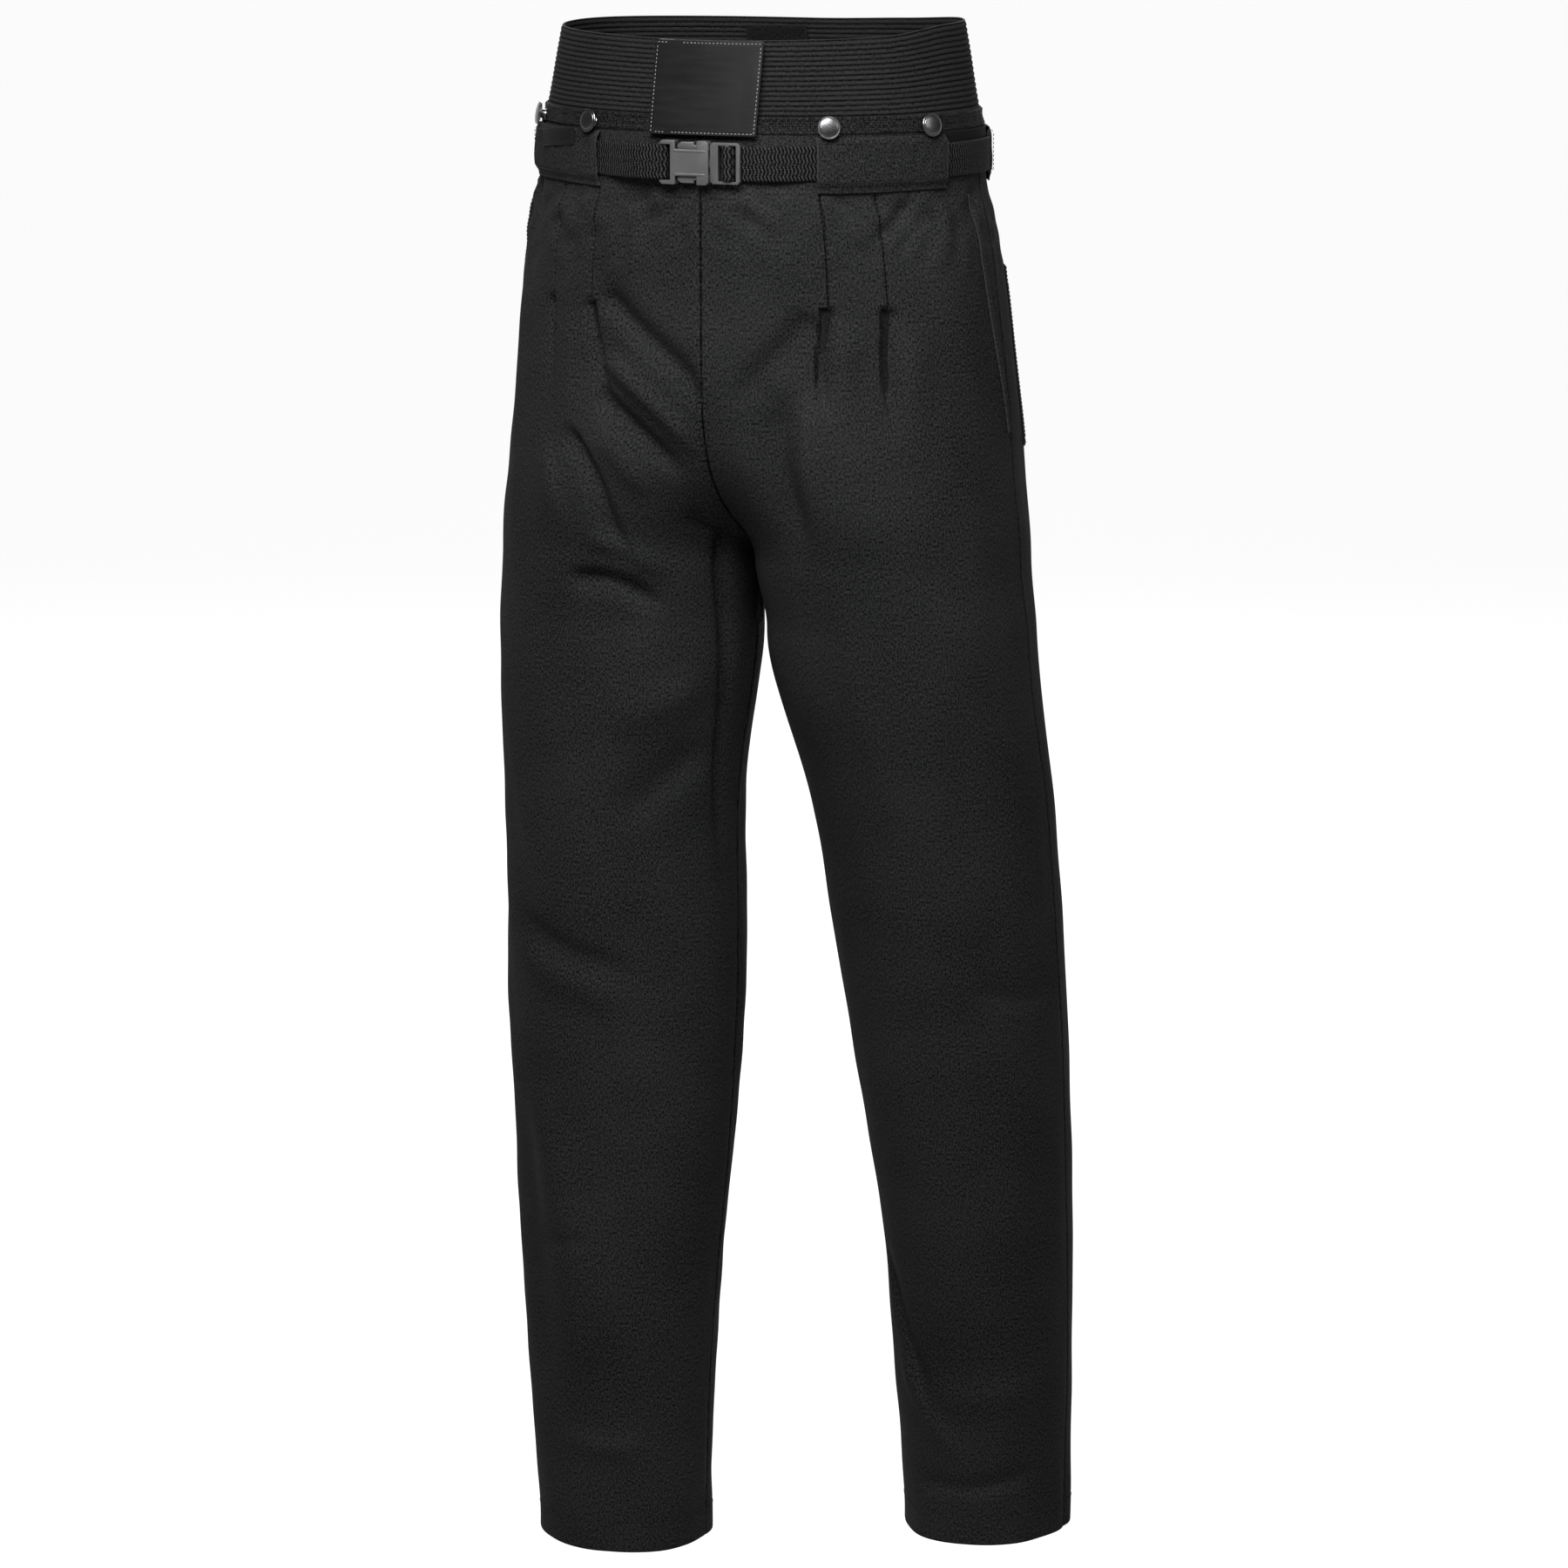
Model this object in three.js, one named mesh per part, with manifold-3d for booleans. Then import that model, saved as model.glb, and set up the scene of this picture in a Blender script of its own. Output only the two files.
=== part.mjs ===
// Hockey referee trousers, worn shape: four cloth leg panels, a ribbed elastic band, a webbing belt with a
// side-release buckle in sewn belt tunnels, a hook-and-loop closure tab, six brace buttons, pockets and a fly.
// Millimetres. X is the wearer's left, Y is the wearer's back, Z is up. The hems stand on Z = 0.
import * as THREE from "three";
import { mergeVertices } from "three/addons/utils/BufferGeometryUtils.js";
import Module from "manifold-3d";

const wasm = await Module();
wasm.setup();

// ---------------------------------------------------------------- driving dimensions: heights
const INSEAM = 795; // floor to crotch
const RISE = 324; // crotch to the trousers' top edge
const BAND_HEIGHT = 68;
const THIGH_DROP = 55; // below the crotch, where each leg has its own full loop
const HIP_MERGE = 165; // above the crotch, where the two thigh loops have become one body loop
const TAPE_HEIGHT = 13;
const HEM_HEIGHT = 24;
const BUTTON_RISE = 4.5; // from the trousers' top edge to the buttons
const TAB_OVERHANG = 2; // below the foot of the band

// ---------------------------------------------------------------- driving dimensions: the worn body
const WAIST_HALF_WIDTH = 170.5;
const WAIST_FRONT = 126; // from the middle of the waist to its front
const WAIST_BACK = 121;
const HIP_HALF_WIDTH = 206; // at the crotch, over both thighs
const HEM_RADIUS = 66.8;
const THIGH_RADIUS = 101.5;
const BAND_INSET = { half: 2, front: 1, back: 1 }; // of the band's foot inside the trousers
const RIM_INSET = { half: 16, front: 13, back: 11 }; // of its rim

// ---------------------------------------------------------------- driving dimensions: thicknesses and gaps
const GAP = 0.3;
const CLOTH = 2.4;
const HEM_CLOTH = 3.2;
const BAND_THICK = 2.6;
const TAPE_THICK = 1.2;
const WEBBING_THICK = 1.8;
const WEBBING_WIDTH = 25;
const LINING_THICK = 1.4;
const POCKET_THICK = 1.4;
const TUNNEL_WALL = 1.6;
const TUNNEL_RUN = 0.9; // between the webbing and a tunnel's outer wall
const TUNNEL_MARGIN = 8; // of a tunnel beyond each edge of the webbing
const LABEL_THICK = 0.8;
const APPLIED_CLEARANCE = 0.9; // under what is sewn on to curved cloth
const LINING_CLEARANCE = 1.4; // between curved cloth and what hangs inside it

// ---------------------------------------------------------------- driving dimensions: closures and hardware
const BUCKLE_LENGTH = 62;
const BUCKLE_MARGIN = 3.5; // of the buckle beyond each edge of the webbing
const BUCKLE_THICK = 9;
const BUCKLE_WALL = 1.8;
const SOCKET_SHARE = 0.62; // of the buckle's length
const PRONG_LENGTH = 25;
const PRONG_WIDTH = 3.4;
const PRONG_FLAT_RUN = 0.5; // between a prong and the socket's front and back walls
const PRONG_RUN = 0.4; // between a prong and the sides of its hollow
const HOOK_LENGTH = 13;
const HOOK_INSET = 1; // of a hook inside the buckle's edge
const PRONG_GAP = 0.5;
const BUCKLE_CENTRE = 2.5;
const FRAME_INSET = 1; // of the plug's frame inside the socket's edge
const FRAME_THICK = 3;
const WEB_BAR = 3;
const WEB_SLOT = 5.5;
const WINDOW_LENGTH = 17;
const WINDOW_DEPTH = 6.2;
const FOLD_LENGTH = 24;
const BELT_REST = 0.7; // between the webbing and the trousers
const TAB_LEFT = -36;
const TAB_WIDTH = 85;
const TAB_THICK = 1.8;
const TAB_ROOT = 12;
const HOOK_THICK = 1.1;
const LOOP_THICK = 1.6;
const TAPE_MARGIN = 5; // from the tab's edges to the hook and loop tapes
const BUTTON_RADIUS = 8.5;
const BUTTON_CLEARANCE = 0.8; // between a cap's underside and the belt tunnel beneath it
const CAP_THICK = 2.4;
const NECK_WALL = 1;
const FLANGE_RADIUS = 5.5;
const FLANGE_THICK = 1;
const POST_RADIUS = 2.2;
const POST_RUN = 0.3;
const BUTTON_ANGLES = [33, 63, 160]; // from the centre front, on each side
const TUNNEL_FRONT = [29.5, 68.7];
const TUNNEL_BACK = 105; // the back tunnel runs between this angle on both sides
const ZIP_LENGTH = 150;
const ZIP_TOP_DROP = 7; // below the trousers' top edge
const ZIP_DEPTH = 8;
const CHAIN_WIDTH = 5;
const CHAIN_THICK = 1.8;
const SLIDER_WEB = 0.4; // half the web that parts the chain
const CHAIN_SPLIT = SLIDER_WEB + GAP;
const ZIP_TAPE_WIDTH = 14;
const ZIP_TAPE_THICK = 0.6;
const ZIP_SEAM_WIDTH = 4;
const SLIDER_WALL = 1.1;
const SLIDER_LENGTH = 12;
const SLIDER_DROP = 4; // from the top of the zip to the slider when the fly is closed
const STOP_LENGTH = 5;
const PULL_LENGTH = 20;
const PULL_WIDTH = 6;
const SHIELD_HALF_WIDTH = 22;

// ---------------------------------------------------------------- heights that follow
const CROTCH_Z = INSEAM;
const THIGH_Z = CROTCH_Z - THIGH_DROP;
const TROUSER_TOP_Z = CROTCH_Z + RISE;
const BAND_TOP_Z = TROUSER_TOP_Z + BAND_HEIGHT;
const BUTTON_Z = TROUSER_TOP_Z + BUTTON_RISE;
const TUNNEL_BOTTOM_Z = TROUSER_TOP_Z - WEBBING_WIDTH - 2 * TUNNEL_MARGIN;
const BELT_Z = (TUNNEL_BOTTOM_Z + TROUSER_TOP_Z) / 2;
const beltLow = BELT_Z - WEBBING_WIDTH / 2;
const beltHigh = BELT_Z + WEBBING_WIDTH / 2;
const ZIP_TOP_Z = TROUSER_TOP_Z - ZIP_TOP_DROP;
const up = (share) => CROTCH_Z + share * RISE;
const down = (share) => share * THIGH_Z;

// ---------------------------------------------------------------- the worn body: sizes against height
const hipShare = profile([
  [up(0), 1], [up(0.185), 0.873], [up(0.389), 0.718], [up(0.593), 0.507], [up(0.796), 0.239],
  [TUNNEL_BOTTOM_Z, 0.056], [TROUSER_TOP_Z, 0],
]);
const bodyHalfWidth = (z) => mix(WAIST_HALF_WIDTH, HIP_HALF_WIDTH, hipShare(z));
const bodyFrontDepth = profile([
  [up(0), WAIST_FRONT - 19], [up(0.139), WAIST_FRONT - 12], [up(0.293), WAIST_FRONT - 4],
  [up(0.448), WAIST_FRONT], [up(1), WAIST_FRONT],
]);
const bodyBackDepth = profile([
  [up(0), WAIST_BACK - 3], [up(0.17), WAIST_BACK + 15], [up(0.355), WAIST_BACK + 23],
  [up(0.571), WAIST_BACK + 19], [up(0.796), WAIST_BACK + 6], [up(1), WAIST_BACK],
]);
const thighShare = profile([
  [0, 0], [down(0.174), 0.144], [down(0.319), 0.3], [down(0.459), 0.487], [down(0.608), 0.643],
  [down(0.811), 0.755], [down(1), 1],
]);
const legRadius = (z) => mix(HEM_RADIUS, THIGH_RADIUS, thighShare(z));
// How much wider than deep the right leg's loop is. The left leg's is that much deeper than wide.
const legOval = profile([
  [0, 0.025], [down(0.174), 0.033], [down(0.392), 0.07], [down(0.608), 0.05], [down(0.811), 0.01],
  [down(1), 0.01],
]);
const THIGH_X = HIP_HALF_WIDTH / 2;

// The left leg slants out and back. The right one hangs almost straight.
const LEGS = {
  left: {
    side: 1,
    oval: -1,
    x: profile([
      [0, THIGH_X + 43], [down(0.174), THIGH_X + 45], [down(0.319), THIGH_X + 45.5],
      [down(0.459), THIGH_X + 42], [down(0.608), THIGH_X + 36], [down(0.811), THIGH_X + 25],
      [down(1), THIGH_X + 7],
    ]),
    y: profile([
      [0, 115], [down(0.174), 103], [down(0.319), 88], [down(0.459), 72], [down(0.608), 54],
      [down(0.811), 30], [down(1), 8], [up(0.324), 0],
    ]),
  },
  right: {
    side: -1,
    oval: 1,
    x: profile([
      [0, THIGH_X + 12.5], [down(0.174), THIGH_X + 15], [down(0.319), THIGH_X + 15],
      [down(0.459), THIGH_X + 13], [down(0.608), THIGH_X + 11.5], [down(0.811), THIGH_X + 11],
      [down(1), THIGH_X + 4],
    ]),
    y: profile([[0, -5], [down(0.459), -2], [down(1), 0], [up(0.324), 0]]),
  },
};

// ---------------------------------------------------------------- helpers

// A smooth curve through [place, value] stations, with no overshoot between two of them.
function profile(stations) {
  const slope = (i) => (stations[i + 1][1] - stations[i][1]) / (stations[i + 1][0] - stations[i][0]);
  const tangent = (i) => {
    if (i === 0 || i === stations.length - 1) return 0;
    const [before, after] = [slope(i - 1), slope(i)];
    return before * after <= 0 ? 0 : (2 * before * after) / (before + after);
  };
  return (place) => {
    const last = stations.length - 2;
    const i = Math.min(last, Math.max(0, stations.findIndex(([at]) => place < at) - 1));
    const k = place >= stations[last + 1][0] ? last : i;
    const span = stations[k + 1][0] - stations[k][0];
    const t = Math.min(1, Math.max(0, (place - stations[k][0]) / span));
    const [a, b] = [stations[k][1], stations[k + 1][1]];
    const [ma, mb] = [tangent(k) * span, tangent(k + 1) * span];
    const [t2, t3] = [t * t, t * t * t];
    return a * (2 * t3 - 3 * t2 + 1) + ma * (t3 - 2 * t2 + t) + b * (3 * t2 - 2 * t3) + mb * (t3 - t2);
  };
}

const mix = (a, b, t) => a + (b - a) * t;
const smooth = (t) => {
  const c = Math.min(1, Math.max(0, t));
  return c * c * (3 - 2 * c);
};
const radians = THREE.MathUtils.degToRad;

// The loop of one leg at a height: its centre and its half-sizes. Above the crotch the loops of the two legs
// cross the middle plane and are cut there, and from HIP_MERGE up they are the one loop of the body.
function loopAt(leg, z) {
  if (z <= THIGH_Z) {
    const r = legRadius(z);
    const wide = 1 + leg.oval * legOval(z);
    const deep = 1 - leg.oval * legOval(z);
    return { cx: leg.x(z), cy: leg.y(z), p: r * wide, front: r * deep, back: r * deep };
  }
  const rise = smooth((z - CROTCH_Z) / HIP_MERGE);
  const crotchHalf = bodyHalfWidth(CROTCH_Z) / 2;
  const start = loopAt(leg, THIGH_Z);
  const below = smooth((z - THIGH_Z) / THIGH_DROP);
  const cx = z < CROTCH_Z ? mix(start.cx, crotchHalf, below) : crotchHalf * (1 - rise);
  const p = z < CROTCH_Z ? mix(start.p, crotchHalf, below) : bodyHalfWidth(z) - cx;
  const front = z < CROTCH_Z ? mix(start.front, bodyFrontDepth(CROTCH_Z), below) : bodyFrontDepth(z);
  const back = z < CROTCH_Z ? mix(start.back, bodyBackDepth(CROTCH_Z), below) : bodyBackDepth(z);
  return { cx, cy: leg.y(z), p, front, back };
}

// A point on a leg's cloth. angle 0 is the side seam, negative is the front; off is outwards.
function legPoint(leg, angle, z, off) {
  const { cx, cy, p, front, back } = loopAt(leg, z);
  const q = angle < 0 ? front : back;
  const normal = new THREE.Vector2(Math.cos(angle) / p, Math.sin(angle) / q).normalize();
  const x = cx + p * Math.cos(angle) + off * normal.x;
  return new THREE.Vector3(leg.side * x, cy + q * Math.sin(angle) + off * normal.y, z);
}

// The angle where a leg's loop meets the middle plane, or its inseam below the crotch.
function seamAngle(leg, z, halfGap) {
  const { cx, p } = loopAt(leg, z);
  return Math.acos(Math.max(-1, -(cx - halfGap) / p));
}

// A point on a loop round the waist. angle is from the centre front, positive towards the wearer's left.
function loopPoint(angle, z, off, half, frontDepth, backDepth) {
  const turn = angle - Math.PI / 2;
  const depth = Math.sin(turn) < 0 ? frontDepth : backDepth;
  const normal = new THREE.Vector2(Math.cos(turn) / half, Math.sin(turn) / depth).normalize();
  const x = half * Math.cos(turn) + off * normal.x;
  return new THREE.Vector3(x, depth * Math.sin(turn) + off * normal.y, z);
}

// A point on the trousers' waist.
const waistPoint = (angle, z, off) =>
  loopPoint(angle, z, off, bodyHalfWidth(z), bodyFrontDepth(z), bodyBackDepth(z));

// A point on the band, which is straight from its foot to its rim.
function bandPoint(angle, z, off) {
  const rise = (z - TROUSER_TOP_Z) / (BAND_TOP_Z - TROUSER_TOP_Z);
  const inset = (key) => mix(BAND_INSET[key], RIM_INSET[key], rise);
  const half = WAIST_HALF_WIDTH - inset("half");
  return loopPoint(angle, z, off, half, WAIST_FRONT - inset("front"), WAIST_BACK - inset("back"));
}

// The waist angle of a place at x on the front.
const frontAngle = (x, z) => Math.asin(x / bodyHalfWidth(z));

// One closed geometry from corner points and triangles, with its faces turned outwards.
function closed(points, triangles) {
  let volume = 0;
  for (let i = 0; i < triangles.length; i += 3) {
    const [a, b, c] = [points[triangles[i]], points[triangles[i + 1]], points[triangles[i + 2]]];
    volume += a.dot(new THREE.Vector3().crossVectors(b, c));
  }
  const order = volume < 0 ? triangles.slice().reverse() : triangles;
  return new THREE.BufferGeometry().setFromPoints(points).setIndex(order);
}

// A solid swept through stations: each station is a ring of the same number of points, and the first
// and last rings are closed with the triangles of the section's outline.
function sweep(rings, capTriangles) {
  const n = rings[0].length;
  const triangles = [];
  for (let i = 0; i + 1 < rings.length; i++) {
    for (let k = 0; k < n; k++) {
      const [a, b] = [i * n + k, i * n + ((k + 1) % n)];
      triangles.push(a, b, b + n, a, b + n, a + n);
    }
  }
  const far = (rings.length - 1) * n;
  for (const [a, b, c] of capTriangles) triangles.push(b, a, c, far + a, far + b, far + c);
  return closed(rings.flat(), triangles);
}

// A sheet with thickness, from at(row, column, layer): layer 0 is its inside and 1 its outside.
function sheet(rows, columns, at) {
  const rings = [];
  for (let i = 0; i <= rows; i++) {
    const inner = [];
    const outer = [];
    for (let k = 0; k <= columns; k++) {
      inner.push(at(i / rows, k / columns, 0));
      outer.unshift(at(i / rows, k / columns, 1));
    }
    rings.push([...inner, ...outer]);
  }
  const caps = [];
  for (let k = 0; k < columns; k++) {
    const [a, b] = [k, 2 * columns + 1 - k];
    caps.push([a, a + 1, b], [a + 1, b - 1, b]);
  }
  return sweep(rings, caps);
}

// A strip round the waist, or round the band, whose section is an outline of [offset, height] corners.
function strip(pointAt, from, to, steps, outline) {
  const flat = outline.map(([off, z]) => new THREE.Vector2(off, z));
  const caps = THREE.ShapeUtils.triangulateShape(flat, []);
  const rings = [];
  for (let i = 0; i <= steps; i++) {
    const angle = mix(from, to, i / steps);
    rings.push(outline.map(([off, z]) => pointAt(angle, z, off)));
  }
  return sweep(rings, caps);
}

// The rectangle of a strip's section.
const rectangle = (inside, outside, low, high) =>
  [[inside, low], [outside, low], [outside, high], [inside, high]];

// A ribbon of webbing that stands on edge along a path in plan.
function ribbon(path, thick, low, high) {
  const rings = path.map((point, i) => {
    const before = path[Math.max(0, i - 1)];
    const after = path[Math.min(path.length - 1, i + 1)];
    const along = after.clone().sub(before).normalize();
    const across = new THREE.Vector2(-along.y, along.x).multiplyScalar(thick / 2);
    const [one, other] = [point.clone().add(across), point.clone().sub(across)];
    return [[one, low], [other, low], [other, high], [one, high]]
      .map(([at, z]) => new THREE.Vector3(at.x, at.y, z));
  });
  return sweep(rings, [[0, 1, 2], [0, 2, 3]]);
}

// A solid of manifold-3d from a geometry, and back again.
function solid(geometry) {
  const bare = geometry.clone();
  bare.deleteAttribute("normal");
  bare.deleteAttribute("uv");
  const merged = mergeVertices(bare, 1e-4);
  return new wasm.Manifold(new wasm.Mesh({
    numProp: 3,
    vertProperties: new Float32Array(merged.attributes.position.array),
    triVerts: new Uint32Array(merged.index.array),
  }));
}

function geometryOf(made) {
  const mesh = made.getMesh();
  return new THREE.BufferGeometry()
    .setAttribute("position", new THREE.BufferAttribute(new Float32Array(mesh.vertProperties), 3))
    .setIndex(new THREE.BufferAttribute(new Uint32Array(mesh.triVerts), 1));
}

// A block between two corners, each [x, y, z].
function block([x0, y0, z0], [x1, y1, z1]) {
  return new THREE.BoxGeometry(x1 - x0, y1 - y0, z1 - z0)
    .translate((x0 + x1) / 2, (y0 + y1) / 2, (z0 + z1) / 2);
}

// A flat outline of [x, z] corners with a thickness from y0 to y1.
function plate(outline, y0, y1) {
  const shape = new THREE.Shape(outline.map(([x, z]) => new THREE.Vector2(x, z)));
  return new THREE.ExtrudeGeometry(shape, { depth: y1 - y0, bevelEnabled: false })
    .rotateX(Math.PI / 2)
    .translate(0, y1, 0);
}

// ---------------------------------------------------------------- finishes
const finish = (color, roughness, metalness = 0) =>
  new THREE.MeshStandardMaterial({ color, roughness, metalness, side: THREE.DoubleSide });
const CLOTH_BLACK = finish(0x1b1b1c, 0.85);
const LINING_BLACK = finish(0x141414, 0.8);
const RIB_BLACK = finish(0x161617, 0.9);
const WEBBING_BLACK = finish(0x0f0f10, 0.7);
const PLASTIC_BLACK = finish(0x2c2c2e, 0.42);
const LEATHER_BLACK = finish(0x19191a, 0.45);
const HOOK_BLACK = finish(0x0c0c0c, 0.95);
const STEEL = finish(0x8d8c8a, 0.32, 1);
const LABEL_BLACK = finish(0x0d0d0e, 0.75);

const trousers = new THREE.Group();
const add = (name, geometry, material) => {
  const mesh = new THREE.Mesh(geometry, material);
  mesh.name = name;
  trousers.add(mesh);
};

// ---------------------------------------------------------------- leg panels and hems
const PANEL_COLUMNS = 10;
const CROTCH_ROWS = 9;
const LEG_ROWS = 9;
const HIP_ROWS = 9;
const WAIST_ROWS = 3;

// Heights of a panel's rows: even along the leg, close together just above the crotch, even up the hip and
// again behind the belt.
function panelHeights() {
  const heights = [];
  const legBottom = HEM_HEIGHT + GAP;
  for (let i = 0; i <= LEG_ROWS; i++) heights.push(mix(legBottom, CROTCH_Z, i / LEG_ROWS));
  for (let i = 1; i <= CROTCH_ROWS; i++) heights.push(CROTCH_Z + HIP_MERGE * (i / CROTCH_ROWS) ** 2);
  const merged = CROTCH_Z + HIP_MERGE;
  for (let i = 1; i <= HIP_ROWS; i++) heights.push(mix(merged, TUNNEL_BOTTOM_Z, i / HIP_ROWS));
  for (let i = 1; i <= WAIST_ROWS; i++) heights.push(mix(TUNNEL_BOTTOM_Z, TROUSER_TOP_Z, i / WAIST_ROWS));
  return heights;
}

// A front or back panel of a leg, from its inner seam to the side seam.
function legPanel(leg, sign) {
  const heights = panelHeights();
  const sideGap = GAP / 2 / 100;
  return sheet(heights.length - 1, PANEL_COLUMNS, (row, column, layer) => {
    const z = heights[Math.round(row * (heights.length - 1))];
    const inner = Math.min(seamAngle(leg, z, GAP / 2), Math.PI - sideGap);
    const angle = sign * mix(inner, sideGap, column);
    return legPoint(leg, angle, z, (layer - 1) * CLOTH);
  });
}

// A turned-up hem: a ring of double cloth at the bottom of the leg.
function hem(leg) {
  const steps = 24;
  const rings = [];
  for (let i = 0; i < steps; i++) {
    const angle = mix(-Math.PI, Math.PI, i / steps);
    rings.push([[-HEM_CLOTH, 0], [0, 0], [0, HEM_HEIGHT], [-HEM_CLOTH, HEM_HEIGHT]]
      .map(([off, z]) => legPoint(leg, angle, z, off)));
  }
  rings.push(rings[0]);
  return closeRing(rings);
}

// A swept ring whose last station is its first.
function closeRing(rings) {
  const n = rings[0].length;
  const count = rings.length - 1;
  const triangles = [];
  for (let i = 0; i < count; i++) {
    const next = (i + 1) % count;
    for (let k = 0; k < n; k++) {
      const m = (k + 1) % n;
      triangles.push(i * n + k, i * n + m, next * n + m, i * n + k, next * n + m, next * n + k);
    }
  }
  return closed(rings.slice(0, count).flat(), triangles);
}

for (const [name, leg] of Object.entries(LEGS)) {
  add(`front_panel_${name}`, legPanel(leg, -1), CLOTH_BLACK);
  add(`back_panel_${name}`, legPanel(leg, 1), CLOTH_BLACK);
  add(`hem_${name}`, hem(leg), CLOTH_BLACK);
}

// ---------------------------------------------------------------- pockets
const POCKET_BAG = { from: 10, to: 62, bottom: up(0.17), top: up(0.818) };
const POCKET_MOUTH = { lean: 8, width: 9, bottom: up(0.306), top: up(0.855) };
const BACK_POCKET = { from: 16, to: 62, bottom: up(0.256), top: up(0.676) };

for (const [name, leg] of Object.entries(LEGS)) {
  const bagDepth = CLOTH + LINING_CLEARANCE;
  add(`pocket_bag_${name}`, sheet(6, 6, (row, column, layer) => {
    const z = mix(POCKET_BAG.bottom, POCKET_BAG.top, row);
    const angle = -radians(mix(POCKET_BAG.from, POCKET_BAG.to, column));
    return legPoint(leg, angle, z, -bagDepth - (1 - layer) * LINING_THICK);
  }), LINING_BLACK);
  add(`pocket_welt_${name}`, sheet(8, 3, (row, column, layer) => {
    const z = mix(POCKET_MOUTH.bottom, POCKET_MOUTH.top, row);
    const span = POCKET_MOUTH.width / bodyHalfWidth(z);
    const angle = -radians(POCKET_MOUTH.lean * row) - span * (1 - column) - 0.02;
    return legPoint(leg, angle, z, APPLIED_CLEARANCE + layer * POCKET_THICK);
  }), CLOTH_BLACK);
  add(`back_pocket_${name}`, sheet(5, 6, (row, column, layer) => {
    const z = mix(BACK_POCKET.bottom, BACK_POCKET.top, row);
    const angle = radians(mix(BACK_POCKET.from, BACK_POCKET.to, column));
    return legPoint(leg, angle, z, APPLIED_CLEARANCE + layer * POCKET_THICK);
  }), CLOTH_BLACK);
}


// ---------------------------------------------------------------- ribbed band and waist tape
const RING_STEPS = 48;
const FRONT_SLIT = 0.004; // half the slit at the centre front, in radians
const bandOutside = 0.6;
const bandInside = bandOutside - BAND_THICK;
const tapeInside = bandOutside + GAP;
const tapeOutside = tapeInside + TAPE_THICK;
const bandFoot = TROUSER_TOP_Z + GAP;

// Puts a button's piece, made along +Y, where its post crosses the band.
function atButton(degrees, geometry) {
  const angle = radians(degrees);
  const foot = bandPoint(angle, BUTTON_Z, 0);
  const sideways = bandPoint(angle + 0.01, BUTTON_Z, 0).sub(foot);
  const upwards = bandPoint(angle, BUTTON_Z + 1, 0).sub(foot);
  const out = sideways.cross(upwards).normalize();
  const turn = new THREE.Quaternion().setFromUnitVectors(new THREE.Vector3(0, 1, 0), out);
  return geometry.applyQuaternion(turn).translate(foot.x, foot.y, foot.z);
}

const buttons = BUTTON_ANGLES.flatMap((angle, i) => [
  { name: `left_${i + 1}`, degrees: angle },
  { name: `right_${i + 1}`, degrees: -angle },
]);
const postHoles = buttons.map(({ degrees }) => {
  const radius = POST_RADIUS + POST_RUN;
  return solid(atButton(degrees, new THREE.CylinderGeometry(radius, radius, 30, 12)));
});
const drilled = (geometry) =>
  geometryOf(postHoles.reduce((left, hole) => left.subtract(hole), solid(geometry)));
const ringFrom = FRONT_SLIT;
const ringTo = 2 * Math.PI - FRONT_SLIT;

add("ribbed_band", drilled(strip(bandPoint, ringFrom, ringTo, RING_STEPS,
  rectangle(bandInside, bandOutside, bandFoot, BAND_TOP_Z))), RIB_BLACK);
add("waist_tape", drilled(strip(bandPoint, ringFrom, ringTo, RING_STEPS,
  rectangle(tapeInside, tapeOutside, bandFoot, TROUSER_TOP_Z + TAPE_HEIGHT))), WEBBING_BLACK);

// ---------------------------------------------------------------- brace buttons
// A tack passes through the band from inside, and a domed cap on a hollow neck turns on its post.
const flare = Math.max(bodyBackDepth(beltLow) - WAIST_BACK, bodyHalfWidth(beltLow) - WAIST_HALF_WIDTH);
const capUnder = BELT_REST + WEBBING_THICK + TUNNEL_RUN + TUNNEL_WALL + BUTTON_CLEARANCE + flare;
const capInside = capUnder + CAP_THICK / 4;

function buttonCap() {
  const bore = POST_RADIUS + POST_RUN;
  const neck = bore + NECK_WALL;
  const neckFoot = tapeOutside + 2 * GAP;
  const top = capUnder + CAP_THICK;
  const rim = capUnder + CAP_THICK / 3;
  const outline = [[0, capInside], [bore, capInside], [bore, neckFoot], [neck, neckFoot],
    [neck, capUnder], [BUTTON_RADIUS - 0.4, capUnder], [BUTTON_RADIUS, rim]];
  for (let i = 1; i <= 4; i++) {
    const turn = (i / 4) * (Math.PI / 2);
    outline.push([BUTTON_RADIUS * Math.cos(turn), mix(rim, top, Math.sin(turn))]);
  }
  outline[outline.length - 1][0] = 0;
  return new THREE.LatheGeometry(outline.map(([r, y]) => new THREE.Vector2(r, y)), 16);
}

function buttonTack() {
  const flangeTop = bandInside - 3 * GAP;
  const outline = [[0, flangeTop - FLANGE_THICK], [FLANGE_RADIUS, flangeTop - FLANGE_THICK],
    [FLANGE_RADIUS, flangeTop], [POST_RADIUS, flangeTop], [POST_RADIUS, capInside - GAP], [0, capInside - GAP]];
  return new THREE.LatheGeometry(outline.map(([r, y]) => new THREE.Vector2(r, y)), 12);
}

for (const { name, degrees } of buttons) {
  add(`button_cap_${name}`, atButton(degrees, buttonCap()), STEEL);
  add(`button_tack_${name}`, atButton(degrees, buttonTack()), STEEL);
}

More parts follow.
